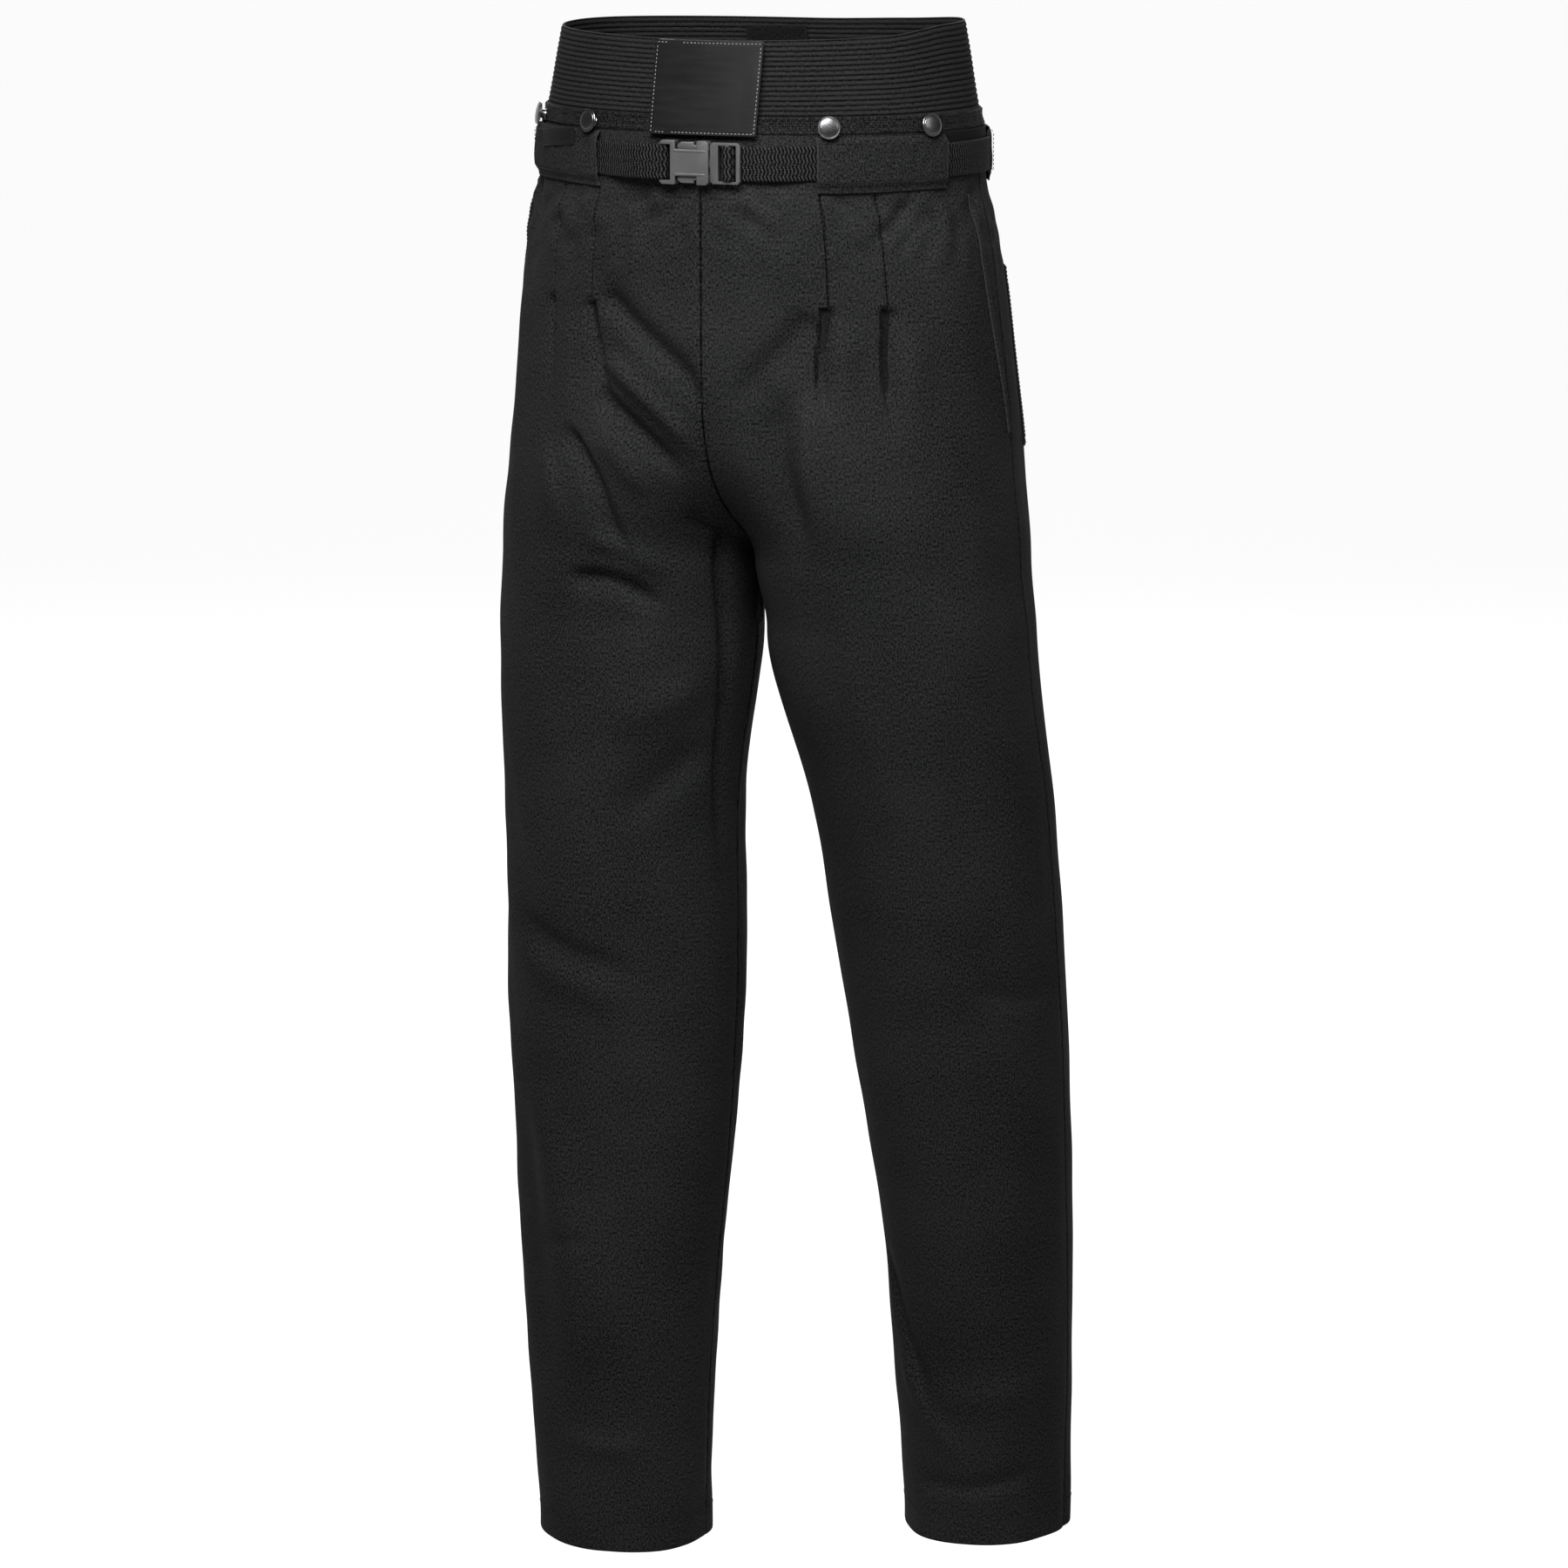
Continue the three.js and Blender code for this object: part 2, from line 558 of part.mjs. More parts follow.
// ---------------------------------------------------------------- closure tab, with hook and loop tapes
const tabAngle = (x) => Math.asin(x / WAIST_HALF_WIDTH);
const loopInside = bandOutside + GAP;
const loopOutside = loopInside + LOOP_THICK;
const hookInside = loopOutside + GAP;
const hookOutside = hookInside + HOOK_THICK;
const tabInside = hookOutside + GAP;
const tabOutside = tabInside + TAB_THICK;
const tabRight = TAB_LEFT + TAB_WIDTH;
const tabCrease = TAB_LEFT + TAB_ROOT;
const tabLow = TROUSER_TOP_Z - TAB_OVERHANG;
const TAB_STEPS = 6;
const tapesFrom = tabAngle(tabCrease + TAPE_MARGIN);
const tapesTo = tabAngle(tabRight - TAPE_MARGIN);
const tapesLow = TROUSER_TOP_Z + TAPE_HEIGHT + GAP;
const tapesHigh = BAND_TOP_Z - TAPE_MARGIN;

add("tab_root", strip(bandPoint, tabAngle(TAB_LEFT), tabAngle(tabCrease), 2,
  rectangle(tapeOutside + GAP, tabOutside, tabLow, BAND_TOP_Z)), LEATHER_BLACK);
add("tab_flap", strip(bandPoint, tabAngle(tabCrease + GAP), tabAngle(tabRight), TAB_STEPS,
  rectangle(tabInside, tabOutside, tabLow, BAND_TOP_Z)), LEATHER_BLACK);
add("tab_hook_tape", strip(bandPoint, tapesFrom, tapesTo, TAB_STEPS,
  rectangle(hookInside, hookOutside, tapesLow, tapesHigh)), HOOK_BLACK);
add("band_loop_tape", strip(bandPoint, tapesFrom, tapesTo, TAB_STEPS,
  rectangle(loopInside, loopOutside, tapesLow, tapesHigh)), HOOK_BLACK);

// ---------------------------------------------------------------- belt tunnels
const tunnelTop = TROUSER_TOP_Z - GAP;

const tunnelInside = BELT_REST + WEBBING_THICK + TUNNEL_RUN;
const tunnelOutside = tunnelInside + TUNNEL_WALL;

// A point of a tunnel. Its outer wall stands upright on the belt's own loop, and its edges lie on the trousers.
function tunnelPoint(angle, z, off) {
  const level = off > APPLIED_CLEARANCE + TUNNEL_WALL ? beltLow : z;
  return waistPoint(angle, level, off).setZ(z);
}

// A sleeve of cloth, sewn to the trousers above and below the belt's space.
function tunnel(fromDegrees, toDegrees, steps) {
  const sole = APPLIED_CLEARANCE;
  const seam = TUNNEL_BOTTOM_Z + 5;
  const roof = tunnelTop - TUNNEL_WALL;
  return strip(tunnelPoint, radians(fromDegrees), radians(toDegrees), steps, [
    [sole, TUNNEL_BOTTOM_Z], [sole + TUNNEL_WALL, TUNNEL_BOTTOM_Z], [tunnelOutside, seam],
    [tunnelOutside, roof], [tunnelInside, tunnelTop], [sole, tunnelTop], [sole, roof], [tunnelInside, roof],
    [tunnelInside, seam], [sole + TUNNEL_WALL / 2, TUNNEL_BOTTOM_Z + TUNNEL_WALL],
    [sole, TUNNEL_BOTTOM_Z + TUNNEL_WALL],
  ]);
}

add("belt_tunnel_left", tunnel(TUNNEL_FRONT[0], TUNNEL_FRONT[1], 8), CLOTH_BLACK);
add("belt_tunnel_right", tunnel(-TUNNEL_FRONT[1], -TUNNEL_FRONT[0], 8), CLOTH_BLACK);
add("belt_tunnel_back", tunnel(TUNNEL_BACK, 360 - TUNNEL_BACK, 24), CLOTH_BLACK);

// ---------------------------------------------------------------- side-release buckle
// The socket is on the wearer's right and the plug on the left. Both lie flat in front of the waist.
const buckleMiddle = -bodyFrontDepth(BELT_Z) - GAP - BUCKLE_THICK / 2;
const buckleFrom = BUCKLE_CENTRE - BUCKLE_LENGTH / 2;
const buckleTo = BUCKLE_CENTRE + BUCKLE_LENGTH / 2;
const mouth = buckleFrom + BUCKLE_LENGTH * SOCKET_SHARE;
const plugFrom = mouth + GAP;
const socketBar = buckleFrom + WEB_BAR / 2;
const plugBar = buckleTo - WEB_BAR - WEB_SLOT - WEB_BAR / 2;
const halfSlot = WEBBING_WIDTH / 2 + 2 * GAP;
const buckleHalfHeight = WEBBING_WIDTH / 2 + BUCKLE_MARGIN;
const prongThick = BUCKLE_THICK - 2 * BUCKLE_WALL - 2 * PRONG_FLAT_RUN;
const prongReach = halfSlot - PRONG_RUN - PRONG_WIDTH / 2;
const hookReach = buckleHalfHeight - HOOK_INSET;
const prongRoot = mouth - GAP / 2;
const prongTip = prongRoot - PRONG_LENGTH;
const cavityEnd = prongTip - 2;

// A block given from the buckle's own middle: x as it is, y and z either side of the middle.
function buckleBlock(x0, x1, y0, y1, z0, z1) {
  return solid(block([x0, buckleMiddle + y0, BELT_Z + z0], [x1, buckleMiddle + y1, BELT_Z + z1]));
}

// A flat piece with corners cut at 45 degrees.
function cutPlate(x0, x1, halfHeight, thick, corner) {
  const [low, high] = [BELT_Z - halfHeight, BELT_Z + halfHeight];
  return solid(plate([
    [x0 + corner, low], [x1 - corner, low], [x1, low + corner], [x1, high - corner],
    [x1 - corner, high], [x0 + corner, high], [x0, high - corner], [x0, low + corner],
  ], buckleMiddle - thick / 2, buckleMiddle + thick / 2));
}

function socket() {
  const half = buckleHalfHeight;
  const far = BUCKLE_THICK;
  const hollow = BUCKLE_THICK / 2 - BUCKLE_WALL;
  const slotTo = buckleFrom + WEB_BAR + WEB_SLOT;
  const windowFrom = cavityEnd + 1;
  const cuts = [
    buckleBlock(cavityEnd, mouth + 1, -hollow, hollow, -halfSlot, halfSlot),
    buckleBlock(buckleFrom + WEB_BAR, slotTo, -far, far, -halfSlot, halfSlot),
    buckleBlock(buckleFrom - 1, slotTo, FRAME_THICK / 2, far, -halfSlot, halfSlot),
    buckleBlock(buckleFrom - 1, slotTo, -far, -FRAME_THICK / 2, -halfSlot, halfSlot),
    buckleBlock(windowFrom, windowFrom + WINDOW_LENGTH, -far, far, half - WINDOW_DEPTH, half + 1),
    buckleBlock(windowFrom, windowFrom + WINDOW_LENGTH, -far, far, -half - 1, WINDOW_DEPTH - half),
  ];
  const body = cutPlate(buckleFrom, mouth, half, BUCKLE_THICK, 2);
  return geometryOf(cuts.reduce((left, cut) => left.subtract(cut), body));
}

function plug() {
  const frame = cutPlate(plugFrom, buckleTo, buckleHalfHeight - FRAME_INSET, FRAME_THICK, 2);
  const nearSlot = plugBar - WEB_BAR / 2;
  const farSlot = buckleTo - WEB_BAR;
  const thick = FRAME_THICK;
  const tongueFrom = cavityEnd + WINDOW_LENGTH / 2;
  return geometryOf(frame
    .subtract(buckleBlock(nearSlot - WEB_SLOT, nearSlot, -thick, thick, -halfSlot, halfSlot))
    .subtract(buckleBlock(farSlot - WEB_SLOT, farSlot, -thick, thick, -halfSlot, halfSlot))
    .add(buckleBlock(tongueFrom, plugFrom + 1, -thick / 2, thick / 2, -3, 3)));
}

// A springy arm with a thumb pad at its tip. side is 1 above and -1 below.
function prong(side) {
  const [near, far] = [prongReach - PRONG_WIDTH / 2, prongReach + PRONG_WIDTH / 2];
  const outline = [
    [prongRoot, near], [prongTip + 2, near], [prongTip, near + 1.5], [prongTip, hookReach - 2],
    [prongTip + 3, hookReach], [prongTip + HOOK_LENGTH, hookReach], [prongTip + HOOK_LENGTH, far],
    [prongRoot, far],
  ].map(([x, z]) => [x, BELT_Z + side * z]);
  return plate(outline, buckleMiddle - prongThick / 2, buckleMiddle + prongThick / 2);
}

add("buckle_socket", socket(), PLASTIC_BLACK);
add("buckle_plug", plug(), PLASTIC_BLACK);
add("prong_upper", prong(1), PLASTIC_BLACK);
add("prong_lower", prong(-1), PLASTIC_BLACK);

// ---------------------------------------------------------------- belt
const wrap = (FRAME_THICK / 2) * Math.SQRT2 + GAP + WEBBING_THICK / 2;
const tunnelMouth = radians(TUNNEL_FRONT[0]);
const strapEnd = radians(TUNNEL_FRONT[0] + 5);
const beltEnd = radians(TUNNEL_FRONT[0] + 9);

// The webbing's middle line at a waist angle: on the trousers, and rising to endY at the bar of a buckle.
function beltPlace(angle, barX, endY) {
  const on = waistPoint(angle, beltLow, BELT_REST + WEBBING_THICK / 2);
  const barAngle = Math.abs(frontAngle(barX, beltLow));
  const share = smooth((tunnelMouth - Math.abs(angle)) / (tunnelMouth - barAngle));
  return new THREE.Vector2(on.x, mix(on.y, endY, share));
}

// A turn of webbing round a bar, between two angles seen from above.
function turnAt(barX, from, to) {
  const turn = [];
  for (let i = 0; i <= 6; i++) {
    const angle = mix(radians(from), radians(to), i / 6);
    turn.push(new THREE.Vector2(barX + wrap * Math.cos(angle), buckleMiddle + wrap * Math.sin(angle)));
  }
  return turn;
}

// The belt comes over the socket's bar from the front and is sewn back to itself behind.
function belt() {
  const front = buckleMiddle - wrap;
  const barAngle = frontAngle(socketBar, beltLow);
  const path = [];
  const foldSteps = 8;
  for (let i = foldSteps; i > 0; i--) {
    const x = socketBar - WEB_BAR / 2 - (FOLD_LENGTH * i) / foldSteps;
    const main = beltPlace(frontAngle(x, beltLow), socketBar, front);
    const share = smooth((FOLD_LENGTH * i) / foldSteps / 12);
    path.push(new THREE.Vector2(main.x, mix(buckleMiddle + wrap, main.y + WEBBING_THICK + GAP, share)));
  }
  path.push(...turnAt(socketBar, 90, -90));
  const steps = 80;
  const around = 2 * Math.PI - beltEnd;
  for (let i = 1; i <= steps; i++) {
    const angle = -mix(-barAngle + radians(0.8), around, i / steps);
    const wrapped = angle < -Math.PI ? angle + 2 * Math.PI : angle;
    path.push(beltPlace(wrapped, socketBar, front));
  }
  return ribbon(path, WEBBING_THICK, beltLow, beltHigh);
}

// The plug's strap comes from its tunnel behind the frame and turns over the middle bar.
function strap() {
  const behind = buckleMiddle + wrap;
  const barAngle = frontAngle(plugBar, beltLow);
  const path = [];
  const steps = 14;
  for (let i = steps; i >= 1; i--) {
    path.push(beltPlace(mix(barAngle + radians(0.8), strapEnd, i / steps), plugBar, behind));
  }
  path.push(...turnAt(plugBar, 90, 270));
  const bend = wrap - GAP;
  for (const degrees of [0, 30, 55, 80]) {
    const turn = radians(degrees);
    const x = plugBar + WEB_BAR / 2 + bend * Math.sin(turn);
    path.push(new THREE.Vector2(x, buckleMiddle - wrap + bend * (1 - Math.cos(turn))));
  }
  return ribbon(path, WEBBING_THICK, beltLow, beltHigh);
}

add("belt_webbing", belt(), WEBBING_BLACK);
add("plug_strap", strap(), WEBBING_BLACK);

// ---------------------------------------------------------------- fly: a concealed zip behind the centre seam
const zipY = -bodyFrontDepth(ZIP_TOP_Z) + ZIP_DEPTH;
const zipLow = ZIP_TOP_Z - ZIP_LENGTH;
const seamY = -bodyFrontDepth(ZIP_TOP_Z) + CLOTH + 4 * GAP;

// A plan outline of [x, y] corners with heights from low to high.
function pillar(outline, low, high) {
  const shape = new THREE.Shape(outline.map(([x, y]) => new THREE.Vector2(x, y)));
  return new THREE.ExtrudeGeometry(shape, { depth: high - low, bevelEnabled: false }).translate(0, 0, low);
}

// One side of the zip: half the chain, its tape, and the turned edge that is sewn to the cloth.
function zipSide(side) {
  const [chain, tape] = [CHAIN_THICK / 2, ZIP_TAPE_THICK / 2];
  const edge = ZIP_TAPE_WIDTH - ZIP_SEAM_WIDTH;
  return pillar([
    [CHAIN_SPLIT, zipY - chain], [CHAIN_WIDTH / 2, zipY - chain], [CHAIN_WIDTH / 2, zipY - tape],
    [edge, zipY - tape], [edge, seamY], [ZIP_TAPE_WIDTH, seamY], [ZIP_TAPE_WIDTH, zipY + tape],
    [CHAIN_WIDTH / 2, zipY + tape], [CHAIN_WIDTH / 2, zipY + chain], [CHAIN_SPLIT, zipY + chain],
  ].map(([x, y]) => [side * x, y]), zipLow, ZIP_TOP_Z);
}

const plateReach = CHAIN_THICK / 2 + GAP + SLIDER_WALL;
const plateHalfWidth = CHAIN_WIDTH / 2 + GAP + SLIDER_WALL;

// A block round the chain from low to high, hollow above floor and open at its sides for the tapes.
function roundChain(low, floor, high) {
  const chain = [CHAIN_WIDTH / 2 + GAP, CHAIN_THICK / 2 + GAP];
  const tape = [plateHalfWidth + 1, ZIP_TAPE_THICK / 2 + GAP];
  const hollow = ([x, y]) => solid(block([-x, zipY - y, floor], [x, zipY + y, high + 1]));
  return solid(block([-plateHalfWidth, zipY - plateReach, low], [plateHalfWidth, zipY + plateReach, high]))
    .subtract(hollow(chain))
    .subtract(hollow(tape));
}

// The slider's two plates are joined by the thin web that parts the two sides of the chain.
const sliderHigh = ZIP_TOP_Z - SLIDER_DROP;
function slider() {
  const low = sliderHigh - SLIDER_LENGTH;
  const web = solid(block([-SLIDER_WEB, zipY - plateReach, low], [SLIDER_WEB, zipY + plateReach, sliderHigh]));
  return geometryOf(roundChain(low, low - 1, sliderHigh).add(web));
}

function pull() {
  const near = zipY - plateReach - GAP;
  const top = sliderHigh - SLIDER_LENGTH / 2;
  return block([-PULL_WIDTH / 2, near - 1, top - PULL_LENGTH], [PULL_WIDTH / 2, near, top]);
}

// The shield keeps the zip off the wearer. One edge turns forward to its seam.
function shield() {
  const near = zipY + plateReach + 3 * GAP;
  const [half, edge] = [SHIELD_HALF_WIDTH, SHIELD_HALF_WIDTH - ZIP_SEAM_WIDTH];
  return pillar([
    [half, near], [half, near + LINING_THICK], [-half, near + LINING_THICK], [-half, seamY + 2 * GAP],
    [-edge, seamY + 2 * GAP], [-edge, near],
  ], zipLow - STOP_LENGTH, tunnelTop);
}

add("zip_side_left", zipSide(1), WEBBING_BLACK);
add("zip_side_right", zipSide(-1), WEBBING_BLACK);
add("zip_slider", slider(), STEEL);
add("zip_pull", pull(), STEEL);
add("zip_stop", geometryOf(roundChain(zipLow - GAP - SLIDER_WALL, zipLow - GAP, zipLow + STOP_LENGTH)), STEEL);
add("fly_shield", shield(), LINING_BLACK);

// ---------------------------------------------------------------- labels
const INNER_LABEL = { from: 182, to: 200, low: BAND_TOP_Z - 29, high: BAND_TOP_Z - 3 };
const SIDE_LABEL = { from: -56, to: -38, low: TROUSER_TOP_Z - 16, high: TROUSER_TOP_Z - 1 };
const innerLabelFace = bandInside - 3 * GAP;
const sideLabelFace = tunnelOutside + GAP;

add("inner_label", strip(bandPoint, radians(INNER_LABEL.from), radians(INNER_LABEL.to), 3,
  rectangle(innerLabelFace - LABEL_THICK, innerLabelFace, INNER_LABEL.low, INNER_LABEL.high)), LABEL_BLACK);
add("side_label", strip(tunnelPoint, radians(SIDE_LABEL.from), radians(SIDE_LABEL.to), 4,
  rectangle(sideLabelFace, sideLabelFace + LABEL_THICK, SIDE_LABEL.low, SIDE_LABEL.high)), LABEL_BLACK);

// ---------------------------------------------------------------- the part's origin: middle of its lowest face
const extent = new THREE.Box3().setFromObject(trousers);
trousers.position.set(-(extent.min.x + extent.max.x) / 2, -(extent.min.y + extent.max.y) / 2, -extent.min.z);

export default trousers;
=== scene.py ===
"""Hockey officials' trousers: four cloth leg panels with turned hems, a ribbed elastic band with a closure
tab and brace buttons, a webbing belt with a side-release buckle in sewn tunnels, pockets and a zip fly.
Sizes are millimetres about the middle of the waist until a point is placed; placed points are metres."""
import logging
import math
from collections.abc import Callable, Sequence
from dataclasses import dataclass, field
from enum import Enum

import bmesh
import bpy
import numpy as np
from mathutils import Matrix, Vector


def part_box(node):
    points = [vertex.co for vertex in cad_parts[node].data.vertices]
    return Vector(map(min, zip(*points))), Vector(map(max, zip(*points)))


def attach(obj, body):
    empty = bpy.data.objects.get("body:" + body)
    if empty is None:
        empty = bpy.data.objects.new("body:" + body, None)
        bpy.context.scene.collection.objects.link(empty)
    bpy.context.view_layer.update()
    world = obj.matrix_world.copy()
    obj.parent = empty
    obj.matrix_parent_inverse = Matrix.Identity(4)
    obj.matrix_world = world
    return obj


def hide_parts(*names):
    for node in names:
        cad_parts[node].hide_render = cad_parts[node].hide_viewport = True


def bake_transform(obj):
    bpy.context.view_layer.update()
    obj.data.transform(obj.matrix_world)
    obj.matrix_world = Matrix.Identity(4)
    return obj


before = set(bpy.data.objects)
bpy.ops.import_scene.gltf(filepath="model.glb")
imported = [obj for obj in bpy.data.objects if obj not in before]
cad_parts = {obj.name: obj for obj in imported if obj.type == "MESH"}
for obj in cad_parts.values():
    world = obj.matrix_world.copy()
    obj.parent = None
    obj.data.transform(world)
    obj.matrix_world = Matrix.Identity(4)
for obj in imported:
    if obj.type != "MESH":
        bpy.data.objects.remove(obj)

Array = np.ndarray
Place = Callable[[Array, Array, Array], Array]
Object = bpy.types.Object
Socket = bpy.types.NodeSocket
log = logging.getLogger("trousers")
MM = 0.001


# ---------------------------------------------------------------- curves and noise
def smooth(share: Array | float) -> Array:
    """Returns 3t^2 - 2t^3, with t held between 0 and 1."""
    t = np.clip(share, 0.0, 1.0)
    return t * t * (3 - 2 * t)


def mix(first: Array | float, second: Array | float, share: Array | float) -> Array:
    """Returns the value a share of the way from first to second."""
    return first + (second - first) * share


def bell(distance: Array, width: float) -> Array:
    """Returns exp(-(distance / width)^2): 1 at distance 0, and nearly 0 beyond twice the width."""
    return np.exp(-((distance / width) ** 2))


def run_along(points: Array) -> Array:
    """Returns how far each point lies along a line of points: the sum of the steps before it."""
    return np.concatenate([[0], np.cumsum(np.linalg.norm(np.diff(points, axis=0), axis=1))])


def sampled(places: Array, stations: Array, rows: Array) -> Array:
    """Returns rows worked out at each place, in straight lines between the stations that they belong to."""
    return np.stack([np.interp(places, stations, column) for column in rows.T], -1)


def on_ellipse(angle: Array, half: Array, depth: Array, off: Array | float) -> tuple[Array, Array]:
    """A point of an ellipse, moved outwards along the ellipse's normal.

    Args:
        angle: Angles in radians.
        half: The half width in mm.
        depth: The half depth in mm.
        off: Distances outwards in mm.

    Returns:
        The x and y in mm from the ellipse's middle.
    """
    nx, ny = np.cos(angle) / half, np.sin(angle) / depth
    size = np.hypot(nx, ny)
    return half * np.cos(angle) + off * nx / size, depth * np.sin(angle) + off * ny / size


class Profile:
    """A smooth curve through (place, value) stations, with no overshoot between two of them."""

    def __init__(self, *stations: tuple[float, float]) -> None:
        """Works out a slope at each station: the harmonic mean of its neighbours' slopes, and 0 at the ends."""
        self.places, self.values = np.array(stations, float).T
        slopes = np.diff(self.values) / np.diff(self.places)
        before, after = slopes[:-1], slopes[1:]
        same = before * after > 0
        inner = np.zeros(len(before))
        inner[same] = 2 * before[same] * after[same] / (before[same] + after[same])
        self.slopes = np.concatenate([[0.0], inner, [0.0]])

    def __call__(self, place: Array | float) -> Array:
        """The cubic Hermite value, held at the end stations' values beyond them.

        Args:
            place: Where it is asked for.

        Returns:
            The value at each place.
        """
        at = np.clip(place, self.places[0], self.places[-1])
        i = np.clip(np.searchsorted(self.places, at, side="right") - 1, 0, len(self.places) - 2)
        span = self.places[i + 1] - self.places[i]
        t = (at - self.places[i]) / span
        first, last = self.values[i], self.values[i + 1]
        out, into = self.slopes[i] * span, self.slopes[i + 1] * span
        t2, t3 = t * t, t * t * t
        return (first * (2 * t3 - 3 * t2 + 1) + out * (t3 - 2 * t2 + t)
                + last * (3 * t2 - 2 * t3) + into * (t3 - t2))


def ripple(across: Array, along: Array, wave: float, seed: int, waves: int = 9) -> Array:
    """A gentle seeded unevenness: the mean of plane waves of about one wavelength in all directions.

    Args:
        across: Places along the cloth's width, in mm.
        along: Places along its height, in mm.
        wave: The wavelength, in mm.
        seed: Picks directions and phases.
        waves: How many plane waves are added.

    Returns:
        Heights from about -1 to 1.
    """
    source = np.random.default_rng(seed)
    total = np.zeros(np.broadcast(across, along).shape)
    for turn, phase, size in source.uniform((0, 0, 0.7), (math.pi, 2 * math.pi, 1.5), (waves, 3)):
        pace = 2 * math.pi / (wave * size)
        total += np.sin(pace * (across * math.cos(turn) + along * math.sin(turn)) + phase)
    return total / math.sqrt(waves)


# ---------------------------------------------------------------- the worn body
@dataclass(frozen=True)
class Leg:
    """A leg's centre line, and how its loop differs from a circle."""

    name: str
    side: int
    oval: int
    x: Profile
    y: Profile


@dataclass
class Body:
    """The loops that the cloth stands on, from the floor to the band's rim, in mm about the waist's middle."""

    crotch: float = 795.0
    rise: float = 324.0
    band_height: float = 68.0
    thigh: float = 740.0
    merge: float = 165.0
    half_width: float = 170.5
    front: float = 126.0
    back: float = 121.0
    hip: float = 206.0
    hem_radius: float = 66.8
    thigh_radius: float = 101.5
    hem_height: float = 24.0
    chords: int = 24
    axis: tuple[float, float] = (0.0, 0.0)

    def __post_init__(self) -> None:
        """Sets the heights and curves that follow from the sizes, and finds the waist's middle in the frame."""
        up = self.up
        self.top = self.crotch + self.rise
        self.rim = self.top + self.band_height
        self.belt_middle = 1098.5
        self.belt_low = 1086.0
        self.tunnel_low = 1078.0
        self.hip_share = Profile((up(0), 1), (up(0.185), 0.873), (up(0.389), 0.718), (up(0.593), 0.507),
                                 (up(0.796), 0.239), (self.tunnel_low, 0.056), (self.top, 0))
        self.front_depth = Profile((up(0), 107), (up(0.139), 114), (up(0.293), 122), (up(0.448), 126),
                                   (up(1), 126))
        self.back_depth = Profile((up(0), 118), (up(0.17), 136), (up(0.355), 144), (up(0.571), 140),
                                  (up(0.796), 127), (up(1), 121))
        knots = (0, 0.174, 0.319, 0.459, 0.608, 0.811, 1)
        self.thigh_share = self.lower(knots, (0, 0.144, 0.3, 0.487, 0.643, 0.755, 1))
        self.oval = self.lower((0, 0.174, 0.392, 0.608, 0.811, 1), (0.025, 0.033, 0.07, 0.05, 0.01, 0.01))
        half, upright = self.hip / 2, (up(0.324), 0)
        self.left = Leg("left", 1, -1, self.lower(knots, [half + out for out in (43, 45, 45.5, 42, 36, 25, 7)]),
                        self.lower(knots, (115, 103, 88, 72, 54, 30, 8), upright))
        self.right = Leg("right", -1, 1,
                         self.lower(knots, [half + out for out in (12.5, 15, 15, 13, 11.5, 11, 4)]),
                         self.lower((0, 0.459, 1), (-5, -2, 0), upright))
        low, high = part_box("ribbed_band")
        self.axis = ((low.x + high.x) / 2, low.y + (self.front - 0.4) * MM)

    def up(self, share: float) -> float:
        """Returns a height above the crotch, as a share of the rise."""
        return self.crotch + share * self.rise

    def lower(self, shares: Sequence[float], values: Sequence[float], *above: tuple[float, float]) -> Profile:
        """Returns a curve through values at shares of the thigh's height, and stations above it."""
        return Profile(*((share * self.thigh, value) for share, value in zip(shares, values)), *above)

    def width(self, z: Array) -> Array:
        """Returns the body's half width at a height."""
        return mix(self.half_width, self.hip, self.hip_share(z))

    def placed(self, x: Array, y: Array, z: Array) -> Array:
        """Returns points in metres in the frame from coordinates in mm about the waist's middle."""
        x, y, z = np.broadcast_arrays(x, y, z)
        return np.stack([x * MM + self.axis[0], y * MM + self.axis[1], z * MM], -1)

    def loop(self, leg: Leg, z: Array) -> tuple[Array, ...]:
        """The ellipse of one leg at a height.

        Args:
            leg: The leg.
            z: Heights in mm.

        Returns:
            The centre's x and y, the half width, and the depths to the front and to the back.
        """
        z = np.asarray(z, float)
        low = np.minimum(z, self.thigh)
        radius = mix(self.hem_radius, self.thigh_radius, self.thigh_share(low))
        wide, deep = 1 + leg.oval * self.oval(low), 1 - leg.oval * self.oval(low)
        below = smooth((z - self.thigh) / (self.crotch - self.thigh))
        rise = smooth((z - self.crotch) / self.merge)
        half = self.hip / 2
        over = z >= self.crotch
        cx = np.where(over, half * (1 - rise), mix(leg.x(low), half, below))
        p = np.where(over, self.width(z) - cx, mix(radius * wide, half, below))
        front = np.where(over, self.front_depth(z), mix(radius * deep, self.front_depth(self.crotch), below))
        back = np.where(over, self.back_depth(z), mix(radius * deep, self.back_depth(self.crotch), below))
        return cx, leg.y(z), p, front, back

    def on_leg(self, leg: Leg, angle: Array, z: Array, off: Array | float) -> Array:
        """A point on a leg's cloth: its ellipse's point at angle, moved outwards along the ellipse's normal.

        Args:
            leg: The leg.
            angle: 0 at the side seam, negative round the front, in radians.
            z: Heights in mm.
            off: Distance outwards in mm.

        Returns:
            Points in metres.
        """
        cx, cy, p, front, back = self.loop(leg, z)
        x, y = on_ellipse(angle, p, np.where(np.asarray(angle) < 0, front, back), off)
        return self.placed(leg.side * (cx + x), cy + y, z)

    def seam_angle(self, leg: Leg, z: Array, gap: float) -> Array:
        """Returns the angle where a leg's loop meets the middle plane, or its inseam below the crotch."""
        cx, _, p, _, _ = self.loop(leg, z)
        return np.arccos(np.maximum(-1.0, -(cx - gap) / p))

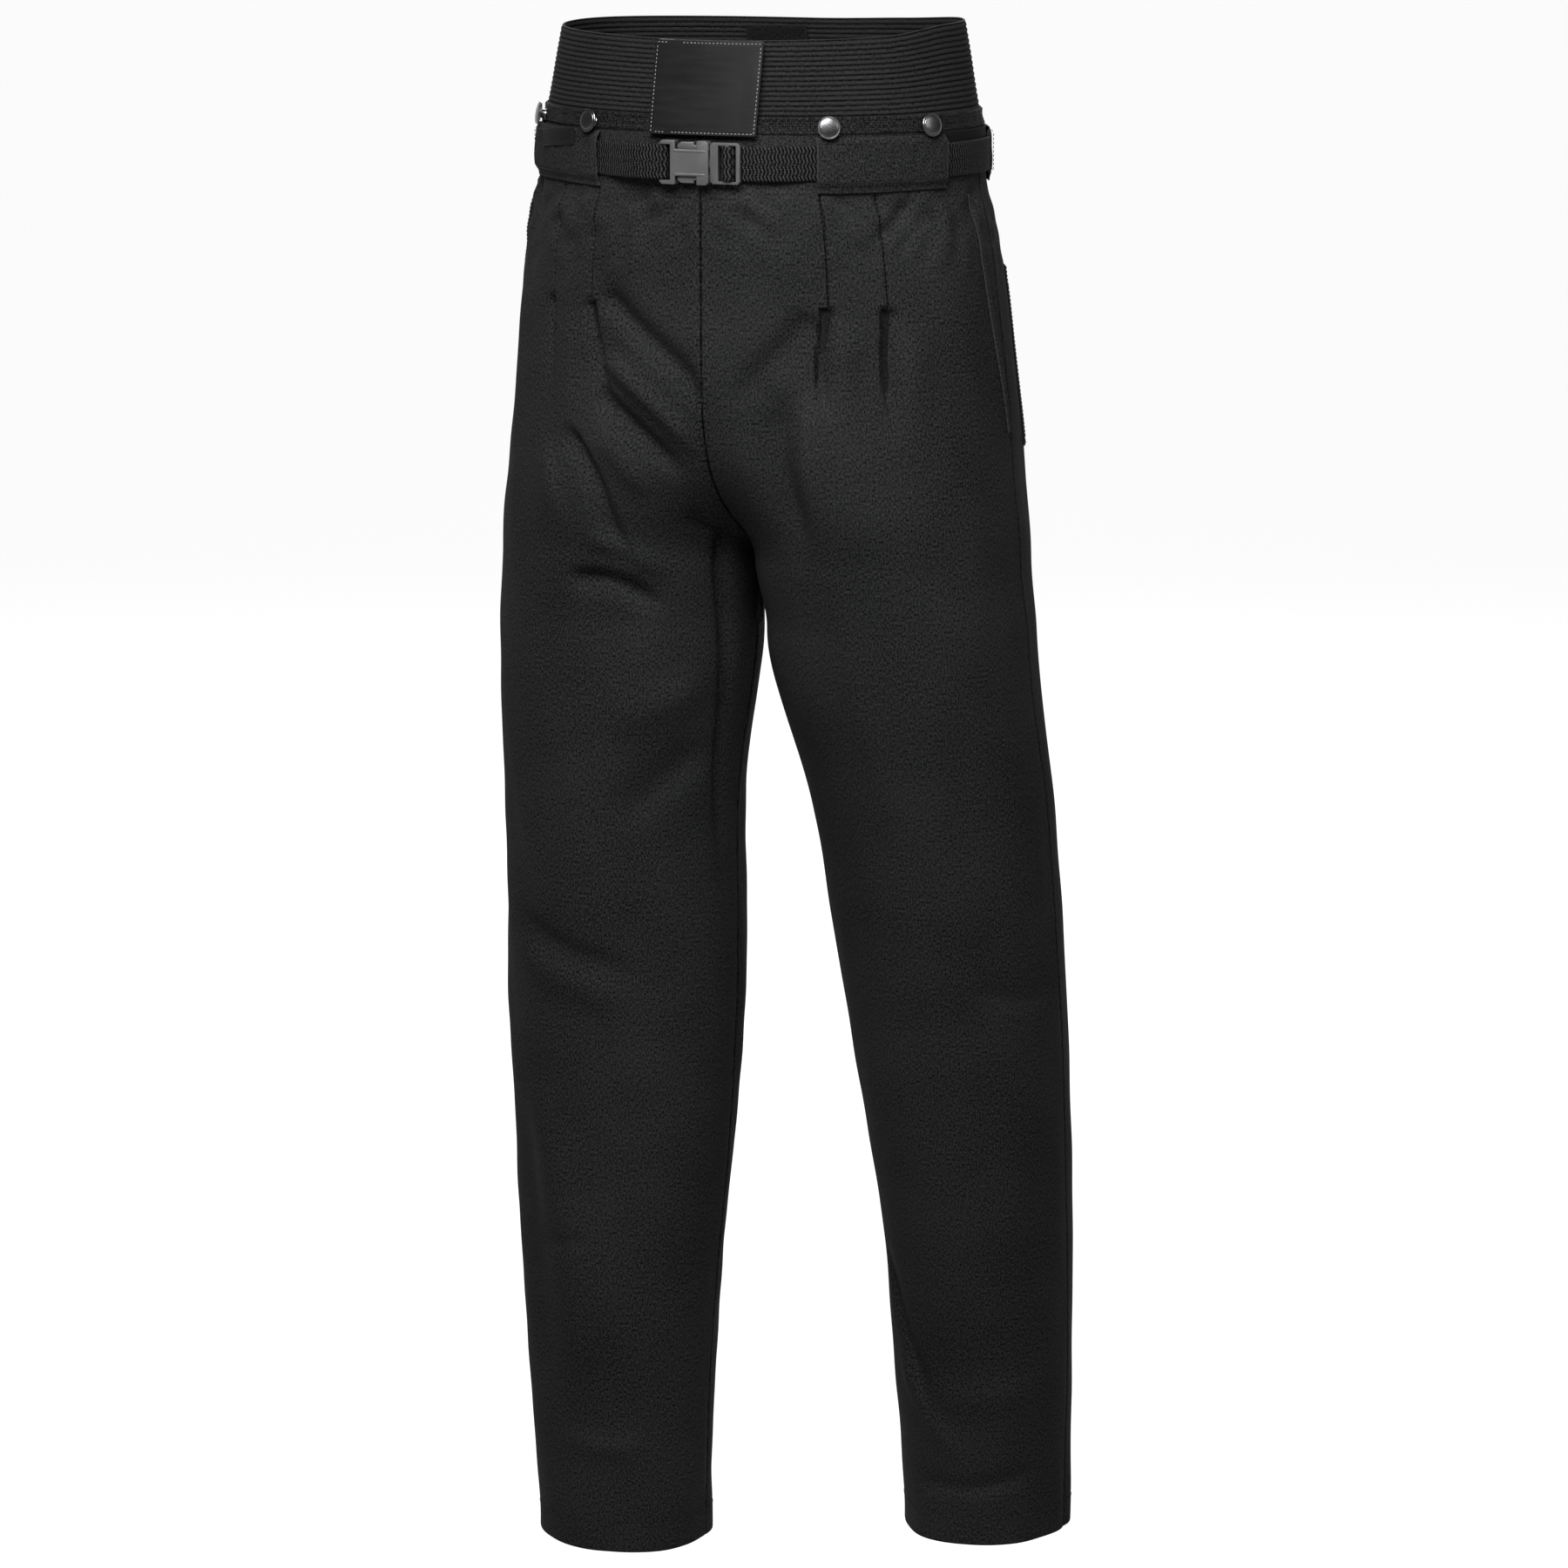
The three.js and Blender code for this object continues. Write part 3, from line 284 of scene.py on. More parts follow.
    def arc(self, leg: Leg, angle: Array, z: Array) -> Array:
        """The distance round a leg's loop from its side seam, worked out by chords of the ellipse.

        Args:
            leg: The leg.
            angle: Angles in radians, below 0 round the front.
            z: Heights in mm.

        Returns:
            Distances in mm, with the angles' signs.
        """
        _, _, p, front, back = self.loop(leg, z)
        q = np.where(np.asarray(angle) < 0, front, back)
        part = np.asarray(angle)[..., None] * (np.arange(self.chords) + 0.5) / self.chords
        return (np.hypot(p[..., None] * np.sin(part), q[..., None] * np.cos(part))).mean(-1) * angle

    def _round(self, angle: Array, z: Array, off: Array, half: Array, front: Array, back: Array) -> Array:
        """Returns points on an ellipse round the waist; angle runs from the centre front to the left."""
        turn = np.asarray(angle) - math.pi / 2
        return self.placed(*on_ellipse(turn, half, np.where(np.sin(turn) < 0, front, back), off), z)

    def on_waist(self, angle: Array, z: Array, off: Array | float) -> Array:
        """Returns points on the trousers round the waist, off mm outwards."""
        return self._round(angle, z, off, self.width(z), self.front_depth(z), self.back_depth(z))

    def on_belt_loop(self, angle: Array, z: Array, off: Array | float) -> Array:
        """Returns points that stand upright on the loop at the belt's lower edge."""
        low = self.belt_low
        return self._round(angle, z, off, self.width(low), self.front_depth(low), self.back_depth(low))

    def on_band(self, angle: Array, z: Array, off: Array | float) -> Array:
        """Points on the band, which narrows in a straight line from its foot to its rim.

        Args:
            angle: Angles from the centre front, in radians.
            z: Heights in mm.
            off: Distances outwards in mm.

        Returns:
            Points in metres.
        """
        rise = (np.asarray(z) - self.top) / self.band_height
        half, front, back = mix(2, 16, rise), mix(1, 13, rise), mix(1, 11, rise)
        return self._round(angle, z, off, self.half_width - half, self.front - front, self.back - back)

    def front_angle(self, x: float, z: float) -> float:
        """Returns the waist angle of a place on the front, x mm to the left of the middle."""
        return math.asin(x / float(self.width(z)))


# ---------------------------------------------------------------- meshes
def spaced(count: int, ends: float = 0.6) -> Array:
    """Returns count + 1 shares from 0 to 1, closer together at both ends: a mix of even and cosine steps."""
    even = np.linspace(0, 1, count + 1)
    return mix(even, (1 - np.cos(math.pi * even)) / 2, ends)


def linked(name: str, mesh: bpy.types.Mesh, crease: float = 180.0) -> Object:
    """Puts a smooth-shaded mesh into the scene.

    Args:
        name: The piece's name.
        mesh: Its mesh.
        crease: Edges sharper than this many degrees stay sharp.

    Returns:
        The object.
    """
    mesh.polygons.foreach_set("use_smooth", np.ones(len(mesh.polygons), bool))
    if crease < 180.0:
        mesh.set_sharp_from_angle(angle=math.radians(crease))
    made = bpy.data.objects.new(name, mesh)
    bpy.context.scene.collection.objects.link(made)
    return made


def mesh_object(name: str, points: Array, faces: Array, uv: Array | None = None, weld: Array | None = None,
                caps: tuple[Array, ...] = (), wear_and_shade: Array | None = None, crease: float = 40.0) -> Object:
    """Makes a mesh object at the origin, with its faces turned outwards by the sign of its volume.

    Args:
        name: The piece's name.
        points: Vertices, (n, 3), in metres.
        faces: Quads, (m, 4).
        uv: A cloth place for each point, in metres.
        weld: For each point the point that it is one with.
        caps: Outlines that close ends, each one face.
        wear_and_shade: Paleness from rubbing at each point, plus painted shade and painted highlight; below 0
            where it is darker than the rest.
        crease: Edges sharper than this many degrees stay sharp.

    Returns:
        The object.
    """
    total = len(points)
    weld = np.arange(total) if weld is None else weld
    corners = np.concatenate([faces.reshape(-1), *caps]).astype(int)
    sizes = np.concatenate([np.full(len(faces), 4), [len(cap) for cap in caps]]).astype(int)
    starts = np.concatenate([[0], np.cumsum(sizes)[:-1]]).astype(int)
    used, vertex = np.unique(weld[corners], return_inverse=True)
    placed = points[used]
    a, b, c, d = (points[faces[:, k]] for k in range(4))
    volume = (a * np.cross(b, c)).sum() + (a * np.cross(c, d)).sum()
    for cap in caps:
        first, second, third = points[cap[0]], points[cap[1:-1]], points[cap[2:]]
        volume += (first * np.cross(second, third)).sum()
    mesh = bpy.data.meshes.new(name)
    mesh.vertices.add(len(placed))
    mesh.vertices.foreach_set("co", placed.astype(np.float32).reshape(-1))
    mesh.loops.add(len(vertex))
    mesh.loops.foreach_set("vertex_index", vertex.astype(np.int32).reshape(-1))
    mesh.polygons.add(len(sizes))
    mesh.polygons.foreach_set("loop_start", starts.astype(np.int32))
    mesh.update(calc_edges=True)
    if uv is not None:
        layer = mesh.uv_layers.new(name="UVMap")
        layer.data.foreach_set("uv", uv[corners].astype(np.float32).reshape(-1))
    # The attribute holds paleness from rubbing and painted shade and highlight, which the materials mix into
    # their colour.
    if wear_and_shade is not None:
        mesh.attributes.new("wear_and_shade", "FLOAT", "POINT").data.foreach_set("value", wear_and_shade[used].astype(np.float32))
    if volume < 0:
        mesh.flip_normals()
    mesh.validate(clean_customdata=False)
    return linked(name, mesh, crease)


def grid_faces(rows: int, columns: int, start: int = 0) -> Array:
    """Returns the quads of a grid of points that is numbered row by row from start."""
    a = start + np.arange(rows * columns).reshape(rows, columns)
    return np.stack([a[:-1, :-1], a[:-1, 1:], a[1:, 1:], a[1:, :-1]], -1).reshape(-1, 4)


def shell(name: str, outer: Array, inner: Array, uv: Array, wear_and_shade: Array) -> Object:
    """A closed piece of cloth from its two faces, with a rim round its edge.

    Args:
        name: The piece's name.
        outer: The outer face's points, (rows, columns, 3).
        inner: The inner face's points, the same grid.
        uv: Cloth places in metres, (rows, columns, 2).
        wear_and_shade: Paleness from rubbing and painted shade and highlight at each place, (rows, columns).

    Returns:
        The object.
    """
    rows, columns = outer.shape[:2]
    count = rows * columns
    near = np.arange(count).reshape(rows, columns)
    far = near + count

    def strip(o: Array, i: Array) -> Array:
        """Returns the quads between an outer and an inner row of points."""
        return np.stack([o[1:], o[:-1], i[:-1], i[1:]], -1)

    faces = np.concatenate([grid_faces(rows, columns), grid_faces(rows, columns, count)[:, ::-1],
                            strip(near[0], far[0]), strip(near[-1][::-1], far[-1][::-1]),
                            strip(near[::-1, 0], far[::-1, 0]), strip(near[:, -1], far[:, -1])])
    points = np.concatenate([outer.reshape(-1, 3), inner.reshape(-1, 3)])
    places = np.tile(uv.reshape(-1, 2), (2, 1))
    return mesh_object(name, points, faces, places, wear_and_shade=np.tile(wear_and_shade.reshape(-1), 2))


def swept(name: str, rings: Array, uv: Array | None = None, closed: bool = False, crease: float = 40.0,
          wear_and_shade: Array | None = None) -> Object:
    """A solid from rings of points, (stations, around, 3): its sides are quads, and each end is one face.

    Args:
        name: The piece's name.
        rings: One ring of points for each station.
        uv: Cloth places, (stations, around, 2).
        closed: True if the last station is the first again.
        crease: Edges sharper than this many degrees stay sharp.
        wear_and_shade: Paleness from rubbing and painted shade and highlight at each point, (stations, around).

    Returns:
        The object.
    """
    stations, around = rings.shape[:2]
    wide = np.concatenate([rings, rings[:, :1]], 1)
    index = np.arange(stations * (around + 1)).reshape(stations, around + 1)
    weld = index.copy()
    weld[:, -1] = weld[:, 0]
    if closed:
        weld[-1] = weld[0]
    caps = () if closed else (index[0, :-1][::-1], index[-1, :-1])
    places = None if uv is None else np.concatenate([uv, uv[:, :1]], 1).reshape(-1, 2)
    wear_and_shade_map = None if wear_and_shade is None else np.concatenate([wear_and_shade, wear_and_shade[:, :1]], 1).reshape(-1)
    return mesh_object(name, wide.reshape(-1, 3), grid_faces(stations, around + 1), places, weld.reshape(-1),
                       caps, wear_and_shade_map, crease)


def lathed(name: str, outline: list[tuple[float, float]], foot: Vector, out: Vector, segments: int) -> Object:
    """A turned piece: an outline of (radius, height) in mm carried round an axis.

    Args:
        name: The piece's name.
        outline: From the axis at one end to the axis at the other.
        foot: Where height 0 lies, in metres.
        out: The axis.
        segments: Steps round it.

    Returns:
        The object.
    """
    radius, height = np.array(outline, float).T
    turn = np.linspace(0, 2 * math.pi, segments, endpoint=False)
    local = np.stack([np.outer(radius, np.cos(turn)), np.outer(radius, np.sin(turn)),
                      np.repeat(height[:, None], segments, 1)], -1)
    frame_of = np.array(out.to_track_quat("Z", "Y").to_matrix()).T
    return swept(name, local @ frame_of * MM + np.array(foot), crease=32)


def rounded(edge: Array, radius: float) -> Array:
    """Returns a share of the thickness near an edge, a quarter circle from 0.2 at the edge to 1 a radius in."""
    inside = 1 - np.clip(edge / radius, 0, 1)
    return 0.2 + 0.8 * np.sqrt(1 - inside * inside)


@dataclass
class Patch:
    """A piece of cloth, tape or leather that lies on a surface, with rounded edges.

    The surface is a function of angle, height and distance outwards. A row's angles shift by lean, in radians,
    from the bottom to the top."""

    name: str
    place: Place
    angles: tuple[float, float]
    heights: tuple[float, float]
    under: float
    thick: float
    columns: int = 40
    rows: int = 24
    radius: float = 0.8
    lean: float = 0.0
    relief: Callable[[Array, Array], Array] | None = None

    def grid(self) -> tuple[Array, Array, Array, Array]:
        """Returns the angles and heights of the grid, and the distances in mm from its left and low edges."""
        u, v = spaced(self.columns)[None, :], spaced(self.rows)[:, None]
        angle = mix(*self.angles, u) + self.lean * v
        height = mix(*self.heights, v) + 0 * u
        flat = self.place(angle, height, self.under + 0 * angle)
        across = np.concatenate([np.zeros((len(v), 1)),
                                 np.cumsum(np.linalg.norm(np.diff(flat, axis=1), axis=2), 1)], 1) / MM
        return angle, height, across, height - self.heights[0]

    def build(self) -> Object:
        """Returns the patch as a closed shell."""
        angle, height, across, along = self.grid()
        width, tall = across[:, -1:], self.heights[1] - self.heights[0]
        edge = np.minimum(np.minimum(across, width - across), np.minimum(along, tall - along))
        half = self.thick / 2 * rounded(edge, self.radius)
        middle = self.under + self.thick / 2 + (0 if self.relief is None else self.relief(across, along))
        outer, inner = self.place(angle, height, middle + half), self.place(angle, height, middle - half)
        return shell(self.name, outer, inner, np.stack([across, height], -1) * MM, np.exp(-edge / 1.6))


@dataclass
class Stitching:
    """Rows of sewn thread, gathered into one piece. Each stitch is a slim closed lozenge of twelve faces."""

    name: str
    pitch: float = 3.1
    gap: float = 0.8
    thread: float = 0.55
    starts: list[Array] = field(default_factory=list)
    ends: list[Array] = field(default_factory=list)
    normals: list[Array] = field(default_factory=list)

    def line(self, points: Array, normals: Array) -> None:
        """Adds a row of stitches.

        Args:
            points: A line of points on the cloth, in metres.
            normals: The cloth's normal at each point.
        """
        run = run_along(points) / MM
        first = np.arange(max(1, int(run[-1] / self.pitch))) * self.pitch
        self.starts.append(sampled(first, run, points))
        self.ends.append(sampled(first + self.pitch - self.gap, run, points))
        self.normals.append(sampled(first + self.pitch / 2, run, normals))

    def on(self, place: Place, angles: Array | float, heights: Array | float, off: float,
           steps: int = 160) -> None:
        """Adds a row of stitches on a surface.

        Args:
            place: The surface.
            angles: Angles along the row, as an array or one number.
            heights: Heights along it, as an array or one number.
            off: How far outwards it lies, in mm.
            steps: Points that the row's line is followed in.
        """
        share = np.linspace(0, 1, steps)

        def spread(values: Array | float) -> Array:
            """Returns the values at each step, in straight lines between them."""
            values = np.atleast_1d(np.asarray(values, float))
            return np.interp(share, np.linspace(0, 1, len(values)), values)

        angle, height = spread(angles), spread(heights)
        points = place(angle, height, off + 0 * angle)
        out = place(angle, height, off + 1 + 0 * angle) - points
        self.line(points, out / np.linalg.norm(out, axis=1, keepdims=True))

    def build(self) -> Object:
        """Returns all rows as one mesh: two ends and two rings of four points for each stitch."""
        start, end, up = (np.concatenate(part) for part in (self.starts, self.ends, self.normals))
        along = end - start
        side = np.cross(along, up)
        side /= np.linalg.norm(side, axis=1, keepdims=True)
        reach = self.thread / 2 * MM
        rings = []
        for share in (0.16, 0.84):
            middle = start + along * share + up * (0.1 * MM)
            rings += [middle + side * reach, middle + up * reach, middle - side * reach, middle - up * reach]
        points = np.stack([start - up * reach * 0.8, *rings, end - up * reach * 0.8], 1)
        k = np.arange(4)
        n = (k + 1) % 4
        quads = np.stack([1 + k, 5 + k, 5 + n, 1 + n], -1)
        tips = np.concatenate([np.stack([1 + k, 1 + n, 0 * k], -1), np.stack([5 + n, 5 + k, 9 + 0 * k], -1)])
        base = points.shape[1] * np.arange(len(start))[:, None, None]
        mesh = bpy.data.meshes.new(self.name)
        mesh.from_pydata(points.reshape(-1, 3), [],
                         (base + quads).reshape(-1, 4).tolist() + (base + tips).reshape(-1, 3).tolist())
        outward(mesh)
        return linked(self.name, mesh)


def outward(mesh: bpy.types.Mesh) -> None:
    """Turns the faces of a closed mesh outwards.

    Args:
        mesh: The mesh.
    """
    work = bmesh.new()
    work.from_mesh(mesh)
    bmesh.ops.recalc_face_normals(work, faces=work.faces)
    work.to_mesh(mesh)
    work.free()


def bevelled(node: str, name: str, width: float, segments: int = 3) -> Object:
    """A copy of a rigid node with its triangles joined into flat faces and its sharp edges rounded.

    Args:
        node: The node.
        name: The new piece's name.
        width: How far the rounding reaches, in mm.
        segments: Faces across it.

    Returns:
        The object.
    """
    work = bmesh.new()
    work.from_mesh(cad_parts[node].data)
    bmesh.ops.remove_doubles(work, verts=work.verts, dist=2e-6)
    bmesh.ops.dissolve_limit(work, angle_limit=math.radians(2), verts=work.verts, edges=work.edges)
    sharp = [edge for edge in work.edges
             if len(edge.link_faces) == 2 and edge.calc_face_angle(0) > math.radians(25)]
    bmesh.ops.bevel(work, geom=sharp, offset=width * MM, segments=segments, profile=0.5, affect="EDGES",
                    clamp_overlap=True)
    bmesh.ops.triangulate(work, faces=[face for face in work.faces if len(face.verts) > 4])
    bmesh.ops.recalc_face_normals(work, faces=work.faces)
    mesh = bpy.data.meshes.new(name)
    work.to_mesh(mesh)
    work.free()
    return linked(name, mesh, 35.0)


# ---------------------------------------------------------------- finishes
class Nodes:
    """A material's node tree with a Principled shader, and short ways to add to it."""

    def __init__(self, name: str) -> None:
        """Starts the material.

        Args:
            name: Its name.
        """
        self.material = bpy.data.materials.new(name)
        self.material.use_nodes = True
        self.tree = self.material.node_tree
        self.shader = self.tree.nodes["Principled BSDF"]

    def feed(self, socket: Socket, value: object) -> None:
        """Links a socket to another one, or sets it to a value.

        Args:
            socket: The socket that is fed.
            value: A socket or a value.
        """
        if isinstance(value, Socket):
            self.tree.links.new(value, socket)
        else:
            socket.default_value = value

    def add(self, kind: str, inputs: dict[int | str, object] | None = None,
            **settings: object) -> bpy.types.Node:
        """Adds a node.

        Args:
            kind: Its type, without the word ShaderNode.
            inputs: Sockets or values for its inputs, by index or name.
            **settings: Its own settings.

        Returns:
            The node.
        """
        node = self.tree.nodes.new("ShaderNode" + kind)
        for key, value in settings.items():
            setattr(node, key, value)
        for key, value in (inputs or {}).items():
            self.feed(node.inputs[key], value)
        return node

    def math(self, operation: str, first: object, second: object = 0.0) -> Socket:
        """Returns the result of a Math node."""
        return self.add("Math", {0: first, 1: second}, operation=operation).outputs[0]

    def weighted(self, *parts: tuple[object, float], plus: float = 0.0) -> Socket:
        """Adds patterns up.

        Args:
            *parts: Each pattern with its weight.
            plus: A constant that is added to them.

        Returns:
            The sum.
        """
        total = plus
        for pattern, weight in parts:
            total = self.add("Math", {0: pattern, 1: weight, 2: total}, operation="MULTIPLY_ADD").outputs[0]
        return total

    def place(self, kind: str) -> Socket:
        """Returns the places that patterns lie on: "UV" or "Object"."""
        return self.add("TexCoord").outputs[kind]

    def wear_and_shade_map(self) -> Socket:
        """Returns the mesh's attribute at each point: paleness from rubbing plus painted shade and highlight.
        """
        return self.add("Attribute", attribute_name="wear_and_shade").outputs["Fac"]

    def noise(self, place: Socket, scale: float, detail: float = 2.0,
              stretch: tuple[float, float, float] | None = None) -> Socket:
        """Adds a noise pattern.

        Args:
            place: Where it lies.
            scale: Spots to a metre.
            detail: Octaves of finer noise.
            stretch: Factors on the place's axes; below 1 the pattern is drawn out along that axis.

        Returns:
            Values from 0 to 1.
        """
        if stretch:
            place = self.add("Mapping", {"Vector": place, "Scale": stretch}).outputs[0]
        return self.add("TexNoise", {"Vector": place, "Scale": scale, "Detail": detail}).outputs[0]

    def blend(self, share: object, first: object, second: object) -> Socket:
        """Returns a colour a share of the way from first to second."""
        return self.add("Mix", {0: share, 6: first, 7: second}, data_type="RGBA").outputs[2]

    def finish(self, colour: Socket, roughness: object, height: Socket, depth: float,
               **constant: float) -> bpy.types.Material:
        """Links colour, roughness and bump, and sets the shader's constants.

        Args:
            colour: The base colour.
            roughness: A socket or a number.
            height: The bump's height, from 0 to 1.
            depth: The bump's depth in mm.
            **constant: Shader inputs by name, with underscores for spaces.

        Returns:
            The material.
        """
        bump = self.add("Bump", {"Height": height, "Distance": depth * MM, "Strength": 1.0})
        self.feed(self.shader.inputs["Base Color"], colour)
        self.feed(self.shader.inputs["Normal"], bump.outputs[0])
        self.feed(self.shader.inputs["Roughness"], roughness)
        for key, value in constant.items():
            self.shader.inputs[key.replace("_", " ")].default_value = value
        return self.material


def grey(value: float) -> tuple[float, float, float, float]:
    """Returns a near-black dye, a trace cooler than neutral."""
    return (value, value, value * 1.03, 1.0)


class Weave(Enum):
    """How a cloth's threads lie."""

    TWILL = "fine diagonal"
    HERRINGBONE = "diagonals that turn back"
    PLAIN = "over and under"
    SATIN = "long floats across"
    PILE = "short loops"


@dataclass(frozen=True)
class Cloth:
    """A dyed woven or knitted cloth, on its own UV places in metres."""

    name: str
    weave: Weave
    pitch: float
    dark: float
    light: float
    roughness: float
    sheen: float
    depth: float = 0.12
    relief: float = 0.35

    def threads(self, nodes: Nodes, across: Socket, along: Socket) -> Socket:
        """The height of the threads: a sine of each weave's own mix of the two cloth places.

        Args:
            nodes: The material's nodes.
            across: Places across the cloth.
            along: Places along it.

        Returns:
            Heights from 0 to 1.
        """
        pace = 2 * math.pi / (self.pitch * MM)

        def wave(place: Socket) -> Socket:
            """Returns a sine of the place, from 0 to 1."""
            return nodes.weighted((nodes.math("SINE", nodes.math("MULTIPLY", place, pace)), 0.5), plus=0.5)

        if self.weave is Weave.TWILL:
            return wave(nodes.math("ADD", across, along))
        if self.weave is Weave.HERRINGBONE:
            turned = nodes.math("PINGPONG", across, self.pitch * 3 * MM)
            return wave(nodes.math("ADD", turned, along))
        if self.weave is Weave.SATIN:
            return wave(along)
        return nodes.math("MULTIPLY", wave(across), wave(along))

    def material(self) -> bpy.types.Material:
        """Returns the cloth's material: threads, slubs, dye that varies, paler edges from rubbing, and painted
        shade and highlight.
        """
        nodes = Nodes(self.name)
        place = nodes.place("UV")
        split = nodes.add("SeparateXYZ", {0: place})
        threads = self.threads(nodes, split.outputs[0], split.outputs[1])
        slub = nodes.noise(place, 820.0, 3.0, (1.0, 0.6, 1.0))
        patches = nodes.noise(place, 9.0, 3.0)
        # The mesh's attribute adds paleness from rubbing, and painted shade and highlight in seams, pleat
        # lines, ribs and tunnel ends.
        share = nodes.weighted((threads, self.relief), (slub, 2.7), (patches, 0.5), (nodes.wear_and_shade_map(), 0.45),
                               plus=-1.3)
        held = nodes.math("MAXIMUM", nodes.math("MINIMUM", share, 1.4), 0.0)
        return nodes.finish(nodes.blend(held, grey(self.dark), grey(self.light)),
                            nodes.weighted((slub, 0.12), plus=self.roughness - 0.06),
                            nodes.weighted((threads, 0.6), (slub, 0.4)), self.depth,
                            Sheen_Weight=self.sheen, Sheen_Roughness=0.5, Specular_IOR_Level=0.02)


@dataclass(frozen=True)
class Leather:
    """A smooth coated leather with a fine pebble grain and faint stretch lines."""

    name: str
    dark: float
    light: float
    roughness: float

    def material(self) -> bpy.types.Material:
        """Returns the leather's material."""
        nodes = Nodes(self.name)
        place = nodes.place("UV")
        pebbles = nodes.add("TexVoronoi", {"Vector": place, "Scale": 1500.0}).outputs["Distance"]
        lines = nodes.noise(place, 260.0, 4.0, (0.12, 1.0, 1.0))
        share = nodes.math("MINIMUM", nodes.weighted((lines, 0.5), (nodes.wear_and_shade_map(), 0.6)), 1.0)
        return nodes.finish(nodes.blend(share, grey(self.dark), grey(self.light)),
                            nodes.weighted((lines, 0.22), plus=self.roughness - 0.1),
                            nodes.weighted((pebbles, 0.5), (lines, 0.5)), 0.06, Specular_IOR_Level=0.05)


@dataclass(frozen=True)
class Moulded:
    """Moulded nylon or stamped metal on Object places: fine texture, faint flow marks and handling scuffs."""

    name: str
    dark: float
    light: float
    roughness: float
    metal: float = 0.0
    grain: float = 2600.0
    depth: float = 0.03

    def material(self) -> bpy.types.Material:
        """Returns the material."""
        nodes = Nodes(self.name)
        place = nodes.place("Object")
        flow = nodes.noise(place, 60.0, 4.0)
        scuffs = nodes.noise(place, 420.0, 5.0, (1.0, 1.0, 6.0))
        marks = nodes.add("MapRange", {0: scuffs, 1: 0.62, 2: 0.72}).outputs[0]
        colour = nodes.blend(nodes.weighted((flow, 0.5), (marks, 0.5)), grey(self.dark), grey(self.light))
        rough = nodes.weighted((flow, 0.14), (marks, 0.12), plus=self.roughness - 0.07)
        return nodes.finish(colour, rough, nodes.noise(place, self.grain), self.depth, Metallic=self.metal,
                            Specular_IOR_Level=0.3)


class Finishes:
    """Every finish of the trousers, made once."""

    def __init__(self) -> None:
        """Makes the materials."""
        self.leg = Cloth("leg_cloth", Weave.TWILL, 0.8, 0.0001, 0.0115, 0.8, 0.002).material()
        self.lining = Cloth("lining", Weave.PLAIN, 0.6, 0.001, 0.005, 0.8, 0.004).material()
        self.rib = Cloth("rib_elastic", Weave.PLAIN, 0.9, 0.0003, 0.0068, 0.8, 0.003).material()
        self.webbing = Cloth("webbing", Weave.PLAIN, 1.2, 0.0, 0.0125, 0.62, 0.004, 0.3, 0.5).material()
        self.tape = Cloth("zip_tape", Weave.HERRINGBONE, 1.8, 0.0, 0.003, 0.7, 0.002, 0.15, 1.0).material()
        self.hooks = Cloth("hook_loop", Weave.PILE, 1.1, 0.0006, 0.006, 0.92, 0.01, 0.6).material()
        self.label = Cloth("label_cloth", Weave.SATIN, 0.4, 0.0008, 0.004, 0.45, 0.002, 0.05).material()
        self.thread = Cloth("thread", Weave.PLAIN, 0.5, 0.003, 0.012, 0.5, 0.004, 0.05).material()
        self.tab_thread = Cloth("tab_thread", Weave.PLAIN, 0.5, 0.06, 0.16, 0.5, 0.01, 0.05).material()
        self.leather = Leather("tab_leather", 0.0006, 0.006, 0.5).material()
        self.plastic = Moulded("buckle_plastic", 0.015, 0.031, 0.45).material()
        self.steel = Moulded("button_steel", 0.045, 0.11, 0.27, 1.0, 3200.0, 0.008).material()
        self.zip = Moulded("zip_metal", 0.07, 0.16, 0.36, 1.0, 2600.0, 0.015).material()

    @staticmethod
    def on(made: Object, material: bpy.types.Material, body: str, slot: str, *nodes: str) -> Object:
        """Finishes a piece.

        Args:
            made: The piece.
            material: Its material.
            body: The body that it rides on, or nothing to leave it unattached.
            slot: Not used.
            *nodes: The nodes that it stands for.

        Returns:
            The piece.
        """
        made.data.materials.clear()
        made.data.materials.append(material)
        if body:
            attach(made, body)
        if nodes:
            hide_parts(*nodes)
        log.info("%s: %d faces", made.name, len(made.data.polygons))
        return made


